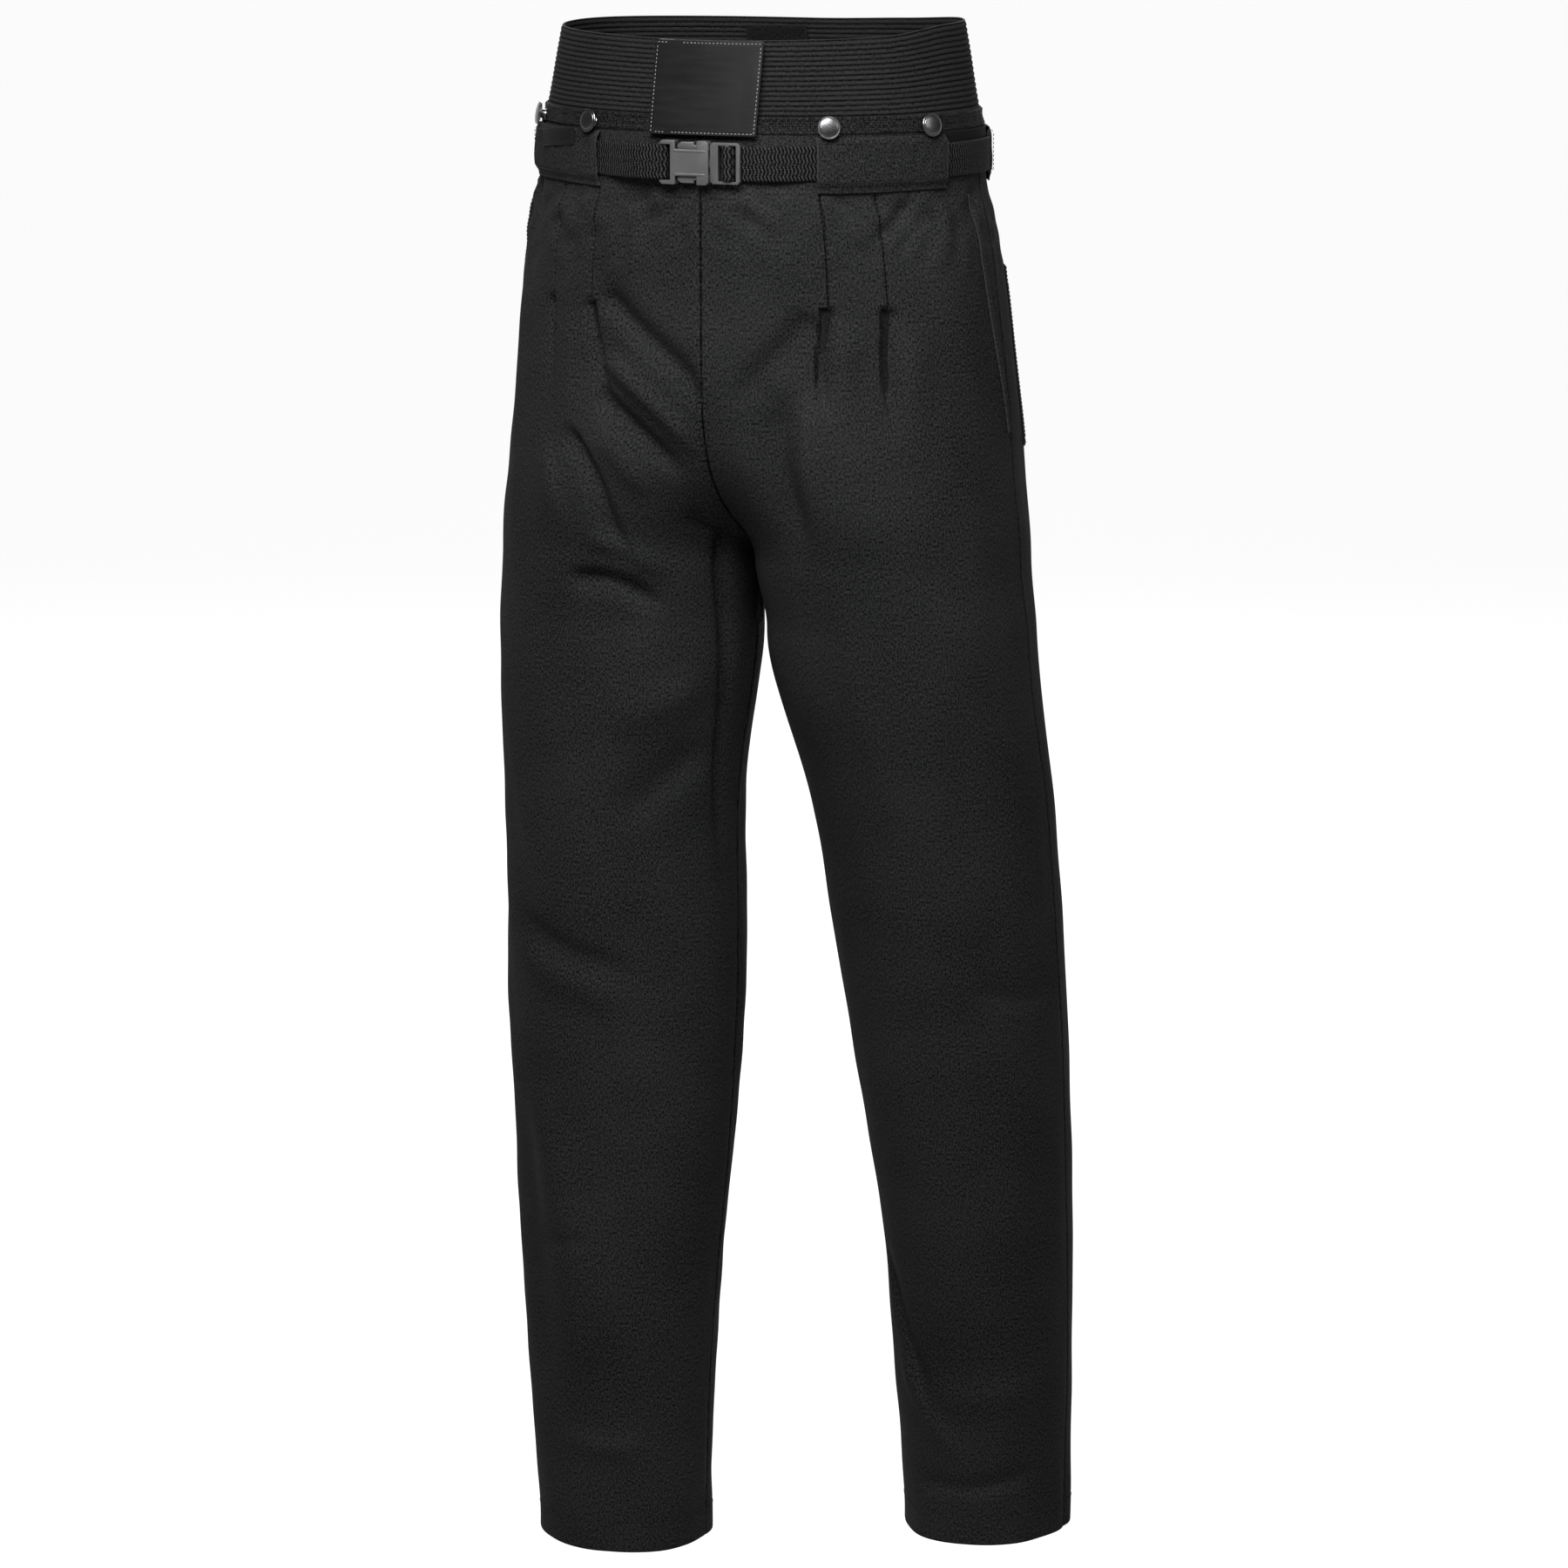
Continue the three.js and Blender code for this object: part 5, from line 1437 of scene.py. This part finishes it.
    def build(self) -> None:
        """Builds the waist."""
        sewing = Stitching("waist_stitching")
        self.band()
        self.tape(sewing)
        self.binding()
        for name, first, last in (("belt_tunnel_left", 29.5, 68.7), ("belt_tunnel_right", -68.7, -29.5),
                                  ("belt_tunnel_back", 105.0, 255.0)):
            self.tunnel(name, first, last, sewing)
        self.labels(sewing)
        Finishes.on(sewing.build(), self.finishes.thread, "trousers", "leg_cloth")


# ---------------------------------------------------------------- belt and buckle
@dataclass
class Belt:
    """The webbing belt, the plug's strap and the side-release buckle."""

    body: Body
    finishes: Finishes
    thick: float = 1.8
    width: float = 25.0
    bar: float = 3.0
    opening: float = 5.5
    frame_thick: float = 3.0
    rest: float = 0.7
    play: float = 0.3
    mouth: float = 29.5
    rib: float = 2.7
    sewn_at: tuple[float, ...] = (-50.5, -47.8)

    def __post_init__(self) -> None:
        """Finds the buckle's bars from its boxes."""
        (low, high), (_, far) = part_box("buckle_socket"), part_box("buckle_plug")
        x, y = self.body.axis
        self.socket_from, self.plug_to = (low.x - x) / MM, (far.x - x) / MM
        self.middle = ((low.y + high.y) / 2 - y) / MM
        self.socket_bar = self.socket_from + self.bar / 2
        self.plug_bar = self.plug_to - self.bar - self.opening - self.bar / 2
        self.wrap = self.frame_thick / 2 * math.sqrt(2) + self.play + self.thick / 2

    def along(self, angle: Array, bar: float, end: float) -> Array:
        """The webbing's middle line in plan: on the trousers, and rising smoothly to a buckle's bar.

        Args:
            angle: Angles from the centre front.
            bar: The bar's x in mm.
            end: The y in mm that the line reaches at the bar.

        Returns:
            Plan points in mm.
        """
        on = (self.body.on_waist(angle, self.body.belt_low, self.rest + self.thick / 2)[..., :2] / MM
              - np.array(self.body.axis) / MM)
        at_bar = abs(self.body.front_angle(bar, self.body.belt_low))
        share = smooth((math.radians(self.mouth) - np.abs(angle)) / (math.radians(self.mouth) - at_bar))
        return np.stack([on[..., 0], mix(on[..., 1], end, share)], -1)

    def turn(self, bar: float, first: float, last: float) -> Array:
        """Returns an arc of the middle line round a bar, between two angles seen from above."""
        angle = np.radians(np.linspace(first, last, 17))
        return np.stack([bar + self.wrap * np.cos(angle), self.middle + self.wrap * np.sin(angle)], -1)

    def ribbon(self, name: str, path: Array, seed: int) -> Object:
        """A ribbon of webbing on edge along a plan path: a flat section with rounded selvedges, and ribs that
        are a sine of the run along it, shifted back and forth across it as in a herringbone.

        Args:
            name: The piece's name.
            path: Plan points in mm.
            seed: For the phase of its slight sway.

        Returns:
            The ribbon.
        """
        run = run_along(path)
        even = np.arange(0, run[-1], self.rib / 4)
        path = sampled(even, run, path)
        step = np.gradient(path, axis=0)
        across = np.stack([-step[:, 1], step[:, 0]], -1) / np.linalg.norm(step, axis=1, keepdims=True)
        share = spaced(20, 0.5)
        rise = np.concatenate([share, share[-2:0:-1]])
        face = np.concatenate([np.ones(21), -np.ones(19)])
        edge = np.minimum(rise, 1 - rise) * self.width
        turned = np.abs((rise * self.width / 3.6) % 2 - 1) * 0.6
        ribs = np.sin(2 * math.pi * (even[:, None] / self.rib + turned))
        half = (self.thick / 2 - 0.15) * rounded(edge, 0.8) + 0.15 * ribs * smooth(edge / 2)
        off = face * np.where(edge < 1e-6, 0.02, half)
        level = self.body.belt_low + rise * self.width + 0.35 * np.sin(even / 23.0 + seed)[:, None]
        points = self.body.placed(path[:, None, 0] + across[:, None, 0] * off,
                                  path[:, None, 1] + across[:, None, 1] * off, level)
        uv = np.stack(np.broadcast_arrays(rise * self.width, even[:, None]), -1) * MM
        # Painted shading: the webbing's colour darkens in the ribs' troughs and lightens on their crests.
        return swept(name, points, uv, crease=75, wear_and_shade=2.4 * ribs - 0.4)

    def webbing(self) -> Object:
        """Builds the belt: sewn back behind the socket's bar, over it, and round to inside its left tunnel."""
        body, bar, low = self.body, self.socket_bar, self.body.belt_low
        front, back_of_bar = self.middle - self.wrap, self.middle + self.wrap
        back = np.linspace(24, 1, 24)
        start = np.arcsin((bar - self.bar / 2 - back) / float(body.width(low)))
        main = self.along(start, bar, front)
        behind = mix(back_of_bar, main[:, 1] + self.thick + self.play, smooth(back / 12))
        fold = np.stack([main[:, 0], behind], -1)
        first = math.radians(0.8) - body.front_angle(bar, low)
        angle = -mix(first, 2 * math.pi - math.radians(self.mouth + 9), np.arange(1, 421) / 420)
        belt = self.along(np.where(angle < -math.pi, angle + 2 * math.pi, angle), bar, front)
        path = np.concatenate([fold, self.turn(bar, 90, -90), belt])
        made = self.ribbon("belt_webbing_cloth", path, 51)
        Finishes.on(made, self.finishes.webbing, "trousers", "webbing", "belt_webbing")
        sewing = Stitching("belt_stitching", 2.6, 0.7, 0.6)
        for x in self.sewn_at:
            plan = self.along(np.full(24, body.front_angle(x, low)), bar, front) - np.array([0.2, 0.95])
            z = np.linspace(low + 2, low + self.width - 2, 24)
            sewing.line(body.placed(*plan.T, z), np.tile([-0.2, -0.98, 0.0], (24, 1)))
        Finishes.on(sewing.build(), self.finishes.thread, "trousers", "webbing")
        return made

    def strap(self) -> Object:
        """Builds the plug's strap, from inside its tunnel to a turn over the plug's middle bar."""
        body, bar, back = self.body, self.plug_bar, self.middle + self.wrap
        first = body.front_angle(bar, body.belt_low) + math.radians(0.8)
        line = self.along(mix(first, math.radians(self.mouth + 5), np.linspace(1, 1 / 60, 60)), bar, back)
        bend = self.wrap - self.play
        turn = np.radians(np.linspace(0, 80, 9))
        end = np.stack([bar + self.bar / 2 + bend * np.sin(turn),
                        self.middle - self.wrap + bend * (1 - np.cos(turn))], -1)
        made = self.ribbon("plug_strap_cloth", np.concatenate([line, self.turn(bar, 90, 270), end]), 52)
        Finishes.on(made, self.finishes.webbing, "", "webbing", "plug_strap")
        mouth = self.along(np.array([math.radians(self.mouth + 1)]), bar, back)[0]
        still = body.placed(*mouth, body.belt_middle)
        moved = body.placed(self.plug_to + 3, self.middle, body.belt_middle)
        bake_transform(made)
        return made

    def buckle(self) -> None:
        """Builds the moulded buckle: rounded socket, plug and prongs, and two low rails on the socket's face.
        """
        for node, body, width in (("buckle_socket", "trousers", 0.7), ("buckle_plug", "plug", 0.6),
                                  ("prong_upper", "upper_prong", 0.6), ("prong_lower", "lower_prong", 0.6)):
            made = bevelled(node, f"{node}_moulding", width)
            Finishes.on(made, self.finishes.plastic, body, "buckle_plastic", node)
        low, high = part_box("buckle_socket")
        for name, up in (("upper", 8.5), ("lower", -8.5)):
            rail = self.rail(f"socket_rail_{name}", low.x + 10.5 * MM, high.x - 2 * MM, low.y,
                             (low.z + high.z) / 2 + up * MM)
            Finishes.on(rail, self.finishes.plastic, "trousers", "buckle_plastic")

    def rail(self, name: str, first: float, last: float, y: float, z: float) -> Object:
        """A low rounded rail on the buckle's face: a half-round section that tapers at both ends.

        Args:
            name: The piece's name.
            first: The x where it begins, in metres.
            last: The x where it ends.
            y: The face that it stands on.
            z: Its height.

        Returns:
            The rail.
        """
        share = spaced(20)
        size = np.sqrt(np.clip(1 - (2 * share - 1) ** 6, 0.02, 1))[:, None]
        turn = np.linspace(0, 2 * math.pi, 12, endpoint=False)[None, :]
        x = mix(first, last, share)[:, None] + 0 * turn
        rings = np.stack([x, y - 0.4 * MM * np.cos(turn) * size, z + 0.9 * MM * np.sin(turn) * size], -1)
        return swept(name, rings)

    def build(self) -> None:
        """Builds the belt and the buckle."""
        self.webbing()
        self.strap()
        self.buckle()


# ---------------------------------------------------------------- closure tab and buttons
@dataclass
class ClosureTab:
    """The leather patch that closes the band, sewn down along its root, with hook and loop tapes under it."""

    body: Body
    finishes: Finishes
    left: float = -39.5
    crease: float = -24.0
    right: float = 43.5
    corner: float = 2.5
    lean: float = 0.6
    spread: float = 0.085
    inset: float = 1.9
    off: float = 5.1

    def turned(self, x: Array | float) -> Array:
        """Returns the waist angle of a place x mm to the left of the middle."""
        return np.arcsin(np.asarray(x, float) / self.body.half_width)

    def place(self, x: Array, z: Array, off: Array | float) -> Array:
        """Points on the patch, which leans a little towards the wearer's left.

        Args:
            x: Distances to the left of the middle, in mm.
            z: Heights in mm.
            off: Distances outwards in mm.

        Returns:
            Points in metres.
        """
        rise = (np.asarray(z) - self.body.top) / self.body.band_height
        turn = self.turned(x * (1 + self.spread * rise)) + math.radians(self.lean) * rise
        return self.body.on_band(turn, z, off)

    def lift(self, x: Array, z: Array) -> Array:
        """Returns how far the patch lifts: its low right corner curls, and the whole is slightly uneven."""
        curl = 0.9 * smooth((x - self.right + 14) / 14) * smooth((self.body.rim - 1 - z) / 30)
        return curl + 0.2 * ripple(x, z, 45.0, 61)

    def leather(self) -> Object:
        """Builds the patch, root and flap in one; to the left of its crease the root is thicker, its inner face
        closer to the band.
        """
        low, high = self.body.top - 1, self.body.rim - 1
        u, v = spaced(96, 0.5)[None, :], spaced(72, 0.5)[:, None]
        z = mix(low, high, v) + 0 * u
        down = np.clip(1 - np.minimum(z - low, high - z) / self.corner, 0, 1)
        inset = self.corner * (1 - np.sqrt(1 - down * down))
        x = mix(self.left + inset, self.right - inset, u)
        edge = np.minimum(np.minimum(x - self.left, self.right - x), np.minimum(z - low, high - z))
        half = 0.9 * rounded(edge, 0.9)
        lift = self.lift(x, z)
        outer = self.off + half - 0.12 * bell(edge - self.inset, 0.6) + lift
        inner = mix(self.off - half, 2.6, smooth((self.crease - 1 - x) / 4)) + lift
        made = shell("closure_tab_leather", self.place(x, z, outer), self.place(x, z, inner),
                     np.stack([x, z], -1) * MM, 0.5 * np.exp(-edge / 0.7))
        return Finishes.on(made, self.finishes.leather, "", "tab_leather", "tab_root", "tab_flap")

    def border(self, name: str, body: str, crease: float, side: float) -> None:
        """Sews one half of the border: along the foot, up the side and back along the top.

        Args:
            name: The piece's name.
            body: The body that it rides on.
            crease: The x in mm where both rows begin, beside the crease.
            side: The x of the upright row.
        """
        low, high = self.body.top - 1 + self.inset, self.body.rim - 1 - self.inset
        sewing = Stitching(name, 2.9, 1.1)
        corners = ((crease, low), (side, low), (side, high), (crease, high))
        for start, end in zip(corners[:-1], corners[1:]):
            x, z = np.linspace(start, end, 60).T
            points = self.place(x, z, self.off + 0.85 + self.lift(x, z))
            out = self.place(x, z, 9.0) - self.place(x, z, 8.0)
            sewing.line(points, out / np.linalg.norm(out, axis=1, keepdims=True))
        Finishes.on(sewing.build(), self.finishes.tab_thread, body, "tab_leather")

    def build(self) -> None:
        """Builds the tab, its stitched border and its tapes."""
        made = self.leather()
        body = self.body
        middle = np.array(body.top + body.band_height / 2)
        still, moved = (self.place(np.array(self.crease + aside), middle, 5.0) for aside in (-2.5, 2.5))
        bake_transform(made)
        self.border("tab_flap_stitching", "closure_tab", self.crease + 3, self.right - self.inset)
        self.border("tab_root_stitching", "trousers", self.crease - 3, self.left + self.inset)
        angles = (float(self.turned(-19)), float(self.turned(40)))
        for node, rides_on, under, thick in (("band_loop_tape", "trousers", 0.9, 1.5),
                                             ("tab_hook_tape", "closure_tab", 2.8, 1.0)):
            tape = Patch(f"{node}_pile", body.on_band, angles, (body.top + 13.4, body.rim - 5), under, thick,
                         60, 50, 0.5, relief=lambda across, along: 0.12 * ripple(across, along, 3.0, 71))
            Finishes.on(tape.build(), self.finishes.hooks, rides_on, "hook_loop", node)


@dataclass
class BraceButtons:
    """Six domed caps that turn on their posts, and the tacks that hold them through the band."""

    body: Body
    finishes: Finishes
    radius: float = 8.5
    height: float = 1123.5
    degrees: tuple[float, ...] = (33.0, 63.0, 160.0)
    stack: tuple[float, ...] = (0.7, 1.8, 0.9, 1.6, 0.8)

    def __post_init__(self) -> None:
        """Finds the cap's underside: over what lies under the tunnel and its cloth, where the body flares."""
        body, low = self.body, self.body.belt_low
        flare = max(float(body.back_depth(low)) - body.back, float(body.width(low)) - body.half_width)
        self.under = sum(self.stack) + flare

    def cap(self) -> list[tuple[float, float]]:
        """Returns the cap's outline: a hollow shank, a flat underside, a rolled rim and an elliptic dome."""
        under, rim = self.under, self.radius
        turn = np.radians(np.linspace(0, 90, 12))
        dome = list(zip((rim - 1.5) * np.cos(turn), under + 1.35 + 1.05 * np.sin(turn)))
        dome[-1] = (0, dome[-1][1])
        return [(0, under + 0.6), (2.5, under + 0.6), (2.5, 2.9), (2.7, 2.7), (4.0, 2.7), (4.1, 3.1),
                (3.6, 3.6), (3.4, 4.4), (3.4, under - 0.9), (3.9, under - 0.2), (5.0, under),
                (rim - 0.6, under), (rim - 0.1, under + 0.2), (rim, under + 0.6), (rim - 0.05, under + 1.05),
                (rim - 0.35, under + 1.35), (rim - 0.8, under + 1.4), (rim - 1.15, under + 1.28), *dome]

    def tack(self) -> list[tuple[float, float]]:
        """Returns the tack's outline: a flange with a rolled rim inside the band, and a post into the cap."""
        return [(0, -3.9), (4.6, -3.9), (5.3, -3.7), (5.5, -3.3), (5.4, -2.95), (5.0, -2.9), (2.7, -2.9),
                (2.2, -2.4), (2.2, self.under - 0.2), (1.7, self.under + 0.25), (0, self.under + 0.3)]

    def build(self) -> None:
        """Builds each button on the band's own normal at its post."""
        steel = self.finishes.steel
        for i, degrees in enumerate(self.degrees, 1):
            for side, angle in (("left", math.radians(degrees)), ("right", -math.radians(degrees))):
                name = f"{side}_{i}"
                foot, aside, over = (self.body.on_band(np.array(a), np.array(z), 0.0)
                                     for a, z in ((angle, self.height), (angle + 0.01, self.height),
                                                  (angle, self.height + 1)))
                out = Vector(np.cross(aside - foot, over - foot)).normalized()
                made = lathed(f"button_cap_{name}_dome", self.cap(), Vector(foot), out, 48)
                Finishes.on(made, steel, f"cap_{name}", "button_steel", f"button_cap_{name}")
                made = lathed(f"button_tack_{name}_post", self.tack(), Vector(foot), out, 32)
                Finishes.on(made, steel, "trousers", "button_steel", f"button_tack_{name}")


# ---------------------------------------------------------------- fly
@dataclass
class Fly:
    """The concealed zip behind the centre seam, its slider and stop, and the shield behind it."""

    body: Body
    finishes: Finishes

    def flat(self, y: float) -> Place:
        """Returns a flat surface that faces forward at y, whose first place is x in mm."""
        return lambda x, z, off: self.body.placed(x, y - off, z)

    def build(self) -> None:
        """Builds the fly."""
        front = self.body.axis[1] / MM
        low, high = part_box("zip_side_left")
        bottom, top = low.z / MM, high.z / MM
        chain = sum(corner.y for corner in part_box("zip_slider")) / 2 / MM - front
        for side, name in ((1, "left"), (-1, "right")):
            tape = Patch(f"zip_tape_{name}", self.flat(chain), (side * 1.9, side * 14.0), (bottom, top), -0.3,
                         0.6, 16, 60, 0.3)
            Finishes.on(tape.build(), self.finishes.tape, "trousers", "zip_tape", f"zip_side_{name}")
            teeth = Stitching(f"zip_teeth_{name}", 1.25, 0.25, 1.5)
            z = np.linspace(bottom + 1, top - 0.5, 40)
            for x in (1.15, 2.0):
                teeth.line(self.body.placed(side * x, chain + 0.3, z), np.tile([0.0, -1.0, 0.0], (40, 1)))
            Finishes.on(teeth.build(), self.finishes.thread, "trousers", "zip_tape")
        for node, body, width in (("zip_slider", "slider", 0.35), ("zip_pull", "slider", 0.3),
                                  ("zip_stop", "trousers", 0.3)):
            metal = bevelled(node, f"{node}_metal", width, 2)
            Finishes.on(metal, self.finishes.zip, body, "zip_metal", node)
        low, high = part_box("fly_shield")
        shield = Patch("fly_shield_cloth", self.flat(high.y / MM - front), (-22.0, 22.0),
                       (low.z / MM, high.z / MM), 0.1, 1.0, 30, 80, 0.6,
                       relief=lambda across, along: 0.15 * ripple(across, along, 40.0, 81))
        made = Finishes.on(shield.build(), self.finishes.lining, "trousers", "lining", "fly_shield")


# ---------------------------------------------------------------- studio
@dataclass
class Studio:
    """A pale floor that curves up behind, soft lights and the camera."""

    body: Body
    azimuth: float = 21.0
    distance: float = 4.0
    aside: float = 0.016
    height: float = 1.44
    pitch: float = 11.7
    lens: float = 122.04
    air: float = 0.24
    table_glow: float = 0.8

    def backdrop(self) -> None:
        """Builds the floor: flat, then a quarter circle up to a wall, as a profile carried across."""
        turn = np.linspace(0, math.pi / 2, 24)
        profile = np.concatenate([[[-9.0, 0.0]], np.stack([4.0 + 2 * np.sin(turn), 2 - 2 * np.cos(turn)], -1),
                                  [[6.0, 7.0]]])
        across = np.linspace(-9, 9, 5)
        points = np.stack(np.broadcast_arrays(across[None, :], profile[:, :1], profile[:, 1:]), -1)
        mesh = bpy.data.meshes.new("studio_floor")
        mesh.from_pydata(points.reshape(-1, 3), [], grid_faces(*points.shape[:2]).tolist())
        floor = linked("studio_floor", mesh)
        floor.rotation_euler = (0, 0, math.radians(self.azimuth))
        nodes = Nodes("studio_paper")
        grain = nodes.noise(nodes.place("Object"), 300.0)
        paper = nodes.blend(grain, (0.2, 0.2, 0.2, 1), (0.22, 0.22, 0.22, 1))
        floor.data.materials.append(nodes.finish(paper, 0.9, grain, 0.05, Emission_Strength=self.table_glow))
        nodes.shader.inputs["Emission Color"].default_value = (1, 1, 1, 1)

    def light(self, name: str, azimuth: float, distance: float, height: float, size: tuple[float, float],
              power: float, aim: float) -> None:
        """Adds a soft area light.

        Args:
            name: Its name.
            azimuth: Degrees from the front towards the wearer's left.
            distance: From the trousers, in metres.
            height: Above the floor.
            size: Width and height.
            power: In watts.
            aim: The height that it points at.
        """
        lamp = bpy.data.lights.new(name, "AREA")
        lamp.shape, lamp.energy = "RECTANGLE", power
        lamp.size, lamp.size_y = size
        turn = math.radians(azimuth)
        made = bpy.data.objects.new(name, lamp)
        made.location = (distance * math.sin(turn), -distance * math.cos(turn), height)
        made.rotation_euler = (Vector((0, 0, aim)) - made.location).to_track_quat("-Z", "Y").to_euler()
        bpy.context.scene.collection.objects.link(made)

    def build(self) -> None:
        """Builds the studio."""
        self.backdrop()
        self.light("key", 9, 1.35, 2.25, (1.2, 0.8), 178, 1.0)
        self.light("fill", 70, 2.6, 2.2, (1.2, 1.2), 28, 1.0)
        self.light("rim", 200, 3.0, 2.6, (2.0, 1.2), 90, 0.9)
        world = bpy.data.worlds.new("studio_air")
        world.use_nodes = True
        background = world.node_tree.nodes["Background"]
        background.inputs["Color"].default_value = (1.0, 1.0, 1.0, 1.0)
        background.inputs["Strength"].default_value = self.air
        scene = bpy.context.scene
        scene.world = world
        scene.view_settings.view_transform = "Standard"
        turn = math.radians(self.azimuth)
        x, y = self.body.axis
        lens = bpy.data.cameras.new("studio_camera")
        lens.lens, lens.sensor_width = self.lens, 36.0
        camera = bpy.data.objects.new("studio_camera", lens)
        camera.location = (x + self.distance * math.sin(turn) + self.aside * math.cos(turn),
                           y - self.distance * math.cos(turn) + self.aside * math.sin(turn), self.height)
        camera.rotation_euler = (math.radians(90 - self.pitch), 0, turn)
        scene.collection.objects.link(camera)
        scene.camera = camera


def main() -> None:
    """Builds the studio and every sub-assembly."""
    logging.basicConfig(level=logging.INFO, format="%(name)s %(message)s")
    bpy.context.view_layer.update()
    body = Body()
    finishes = Finishes()
    Studio(body).build()
    for part in (Waist(body, finishes), Legs(body, finishes), Belt(body, finishes), ClosureTab(body, finishes),
                 BraceButtons(body, finishes), Fly(body, finishes)):
        part.build()
        log.info("%s built", type(part).__name__)
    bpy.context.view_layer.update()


if __name__ == "__main__":
    main()
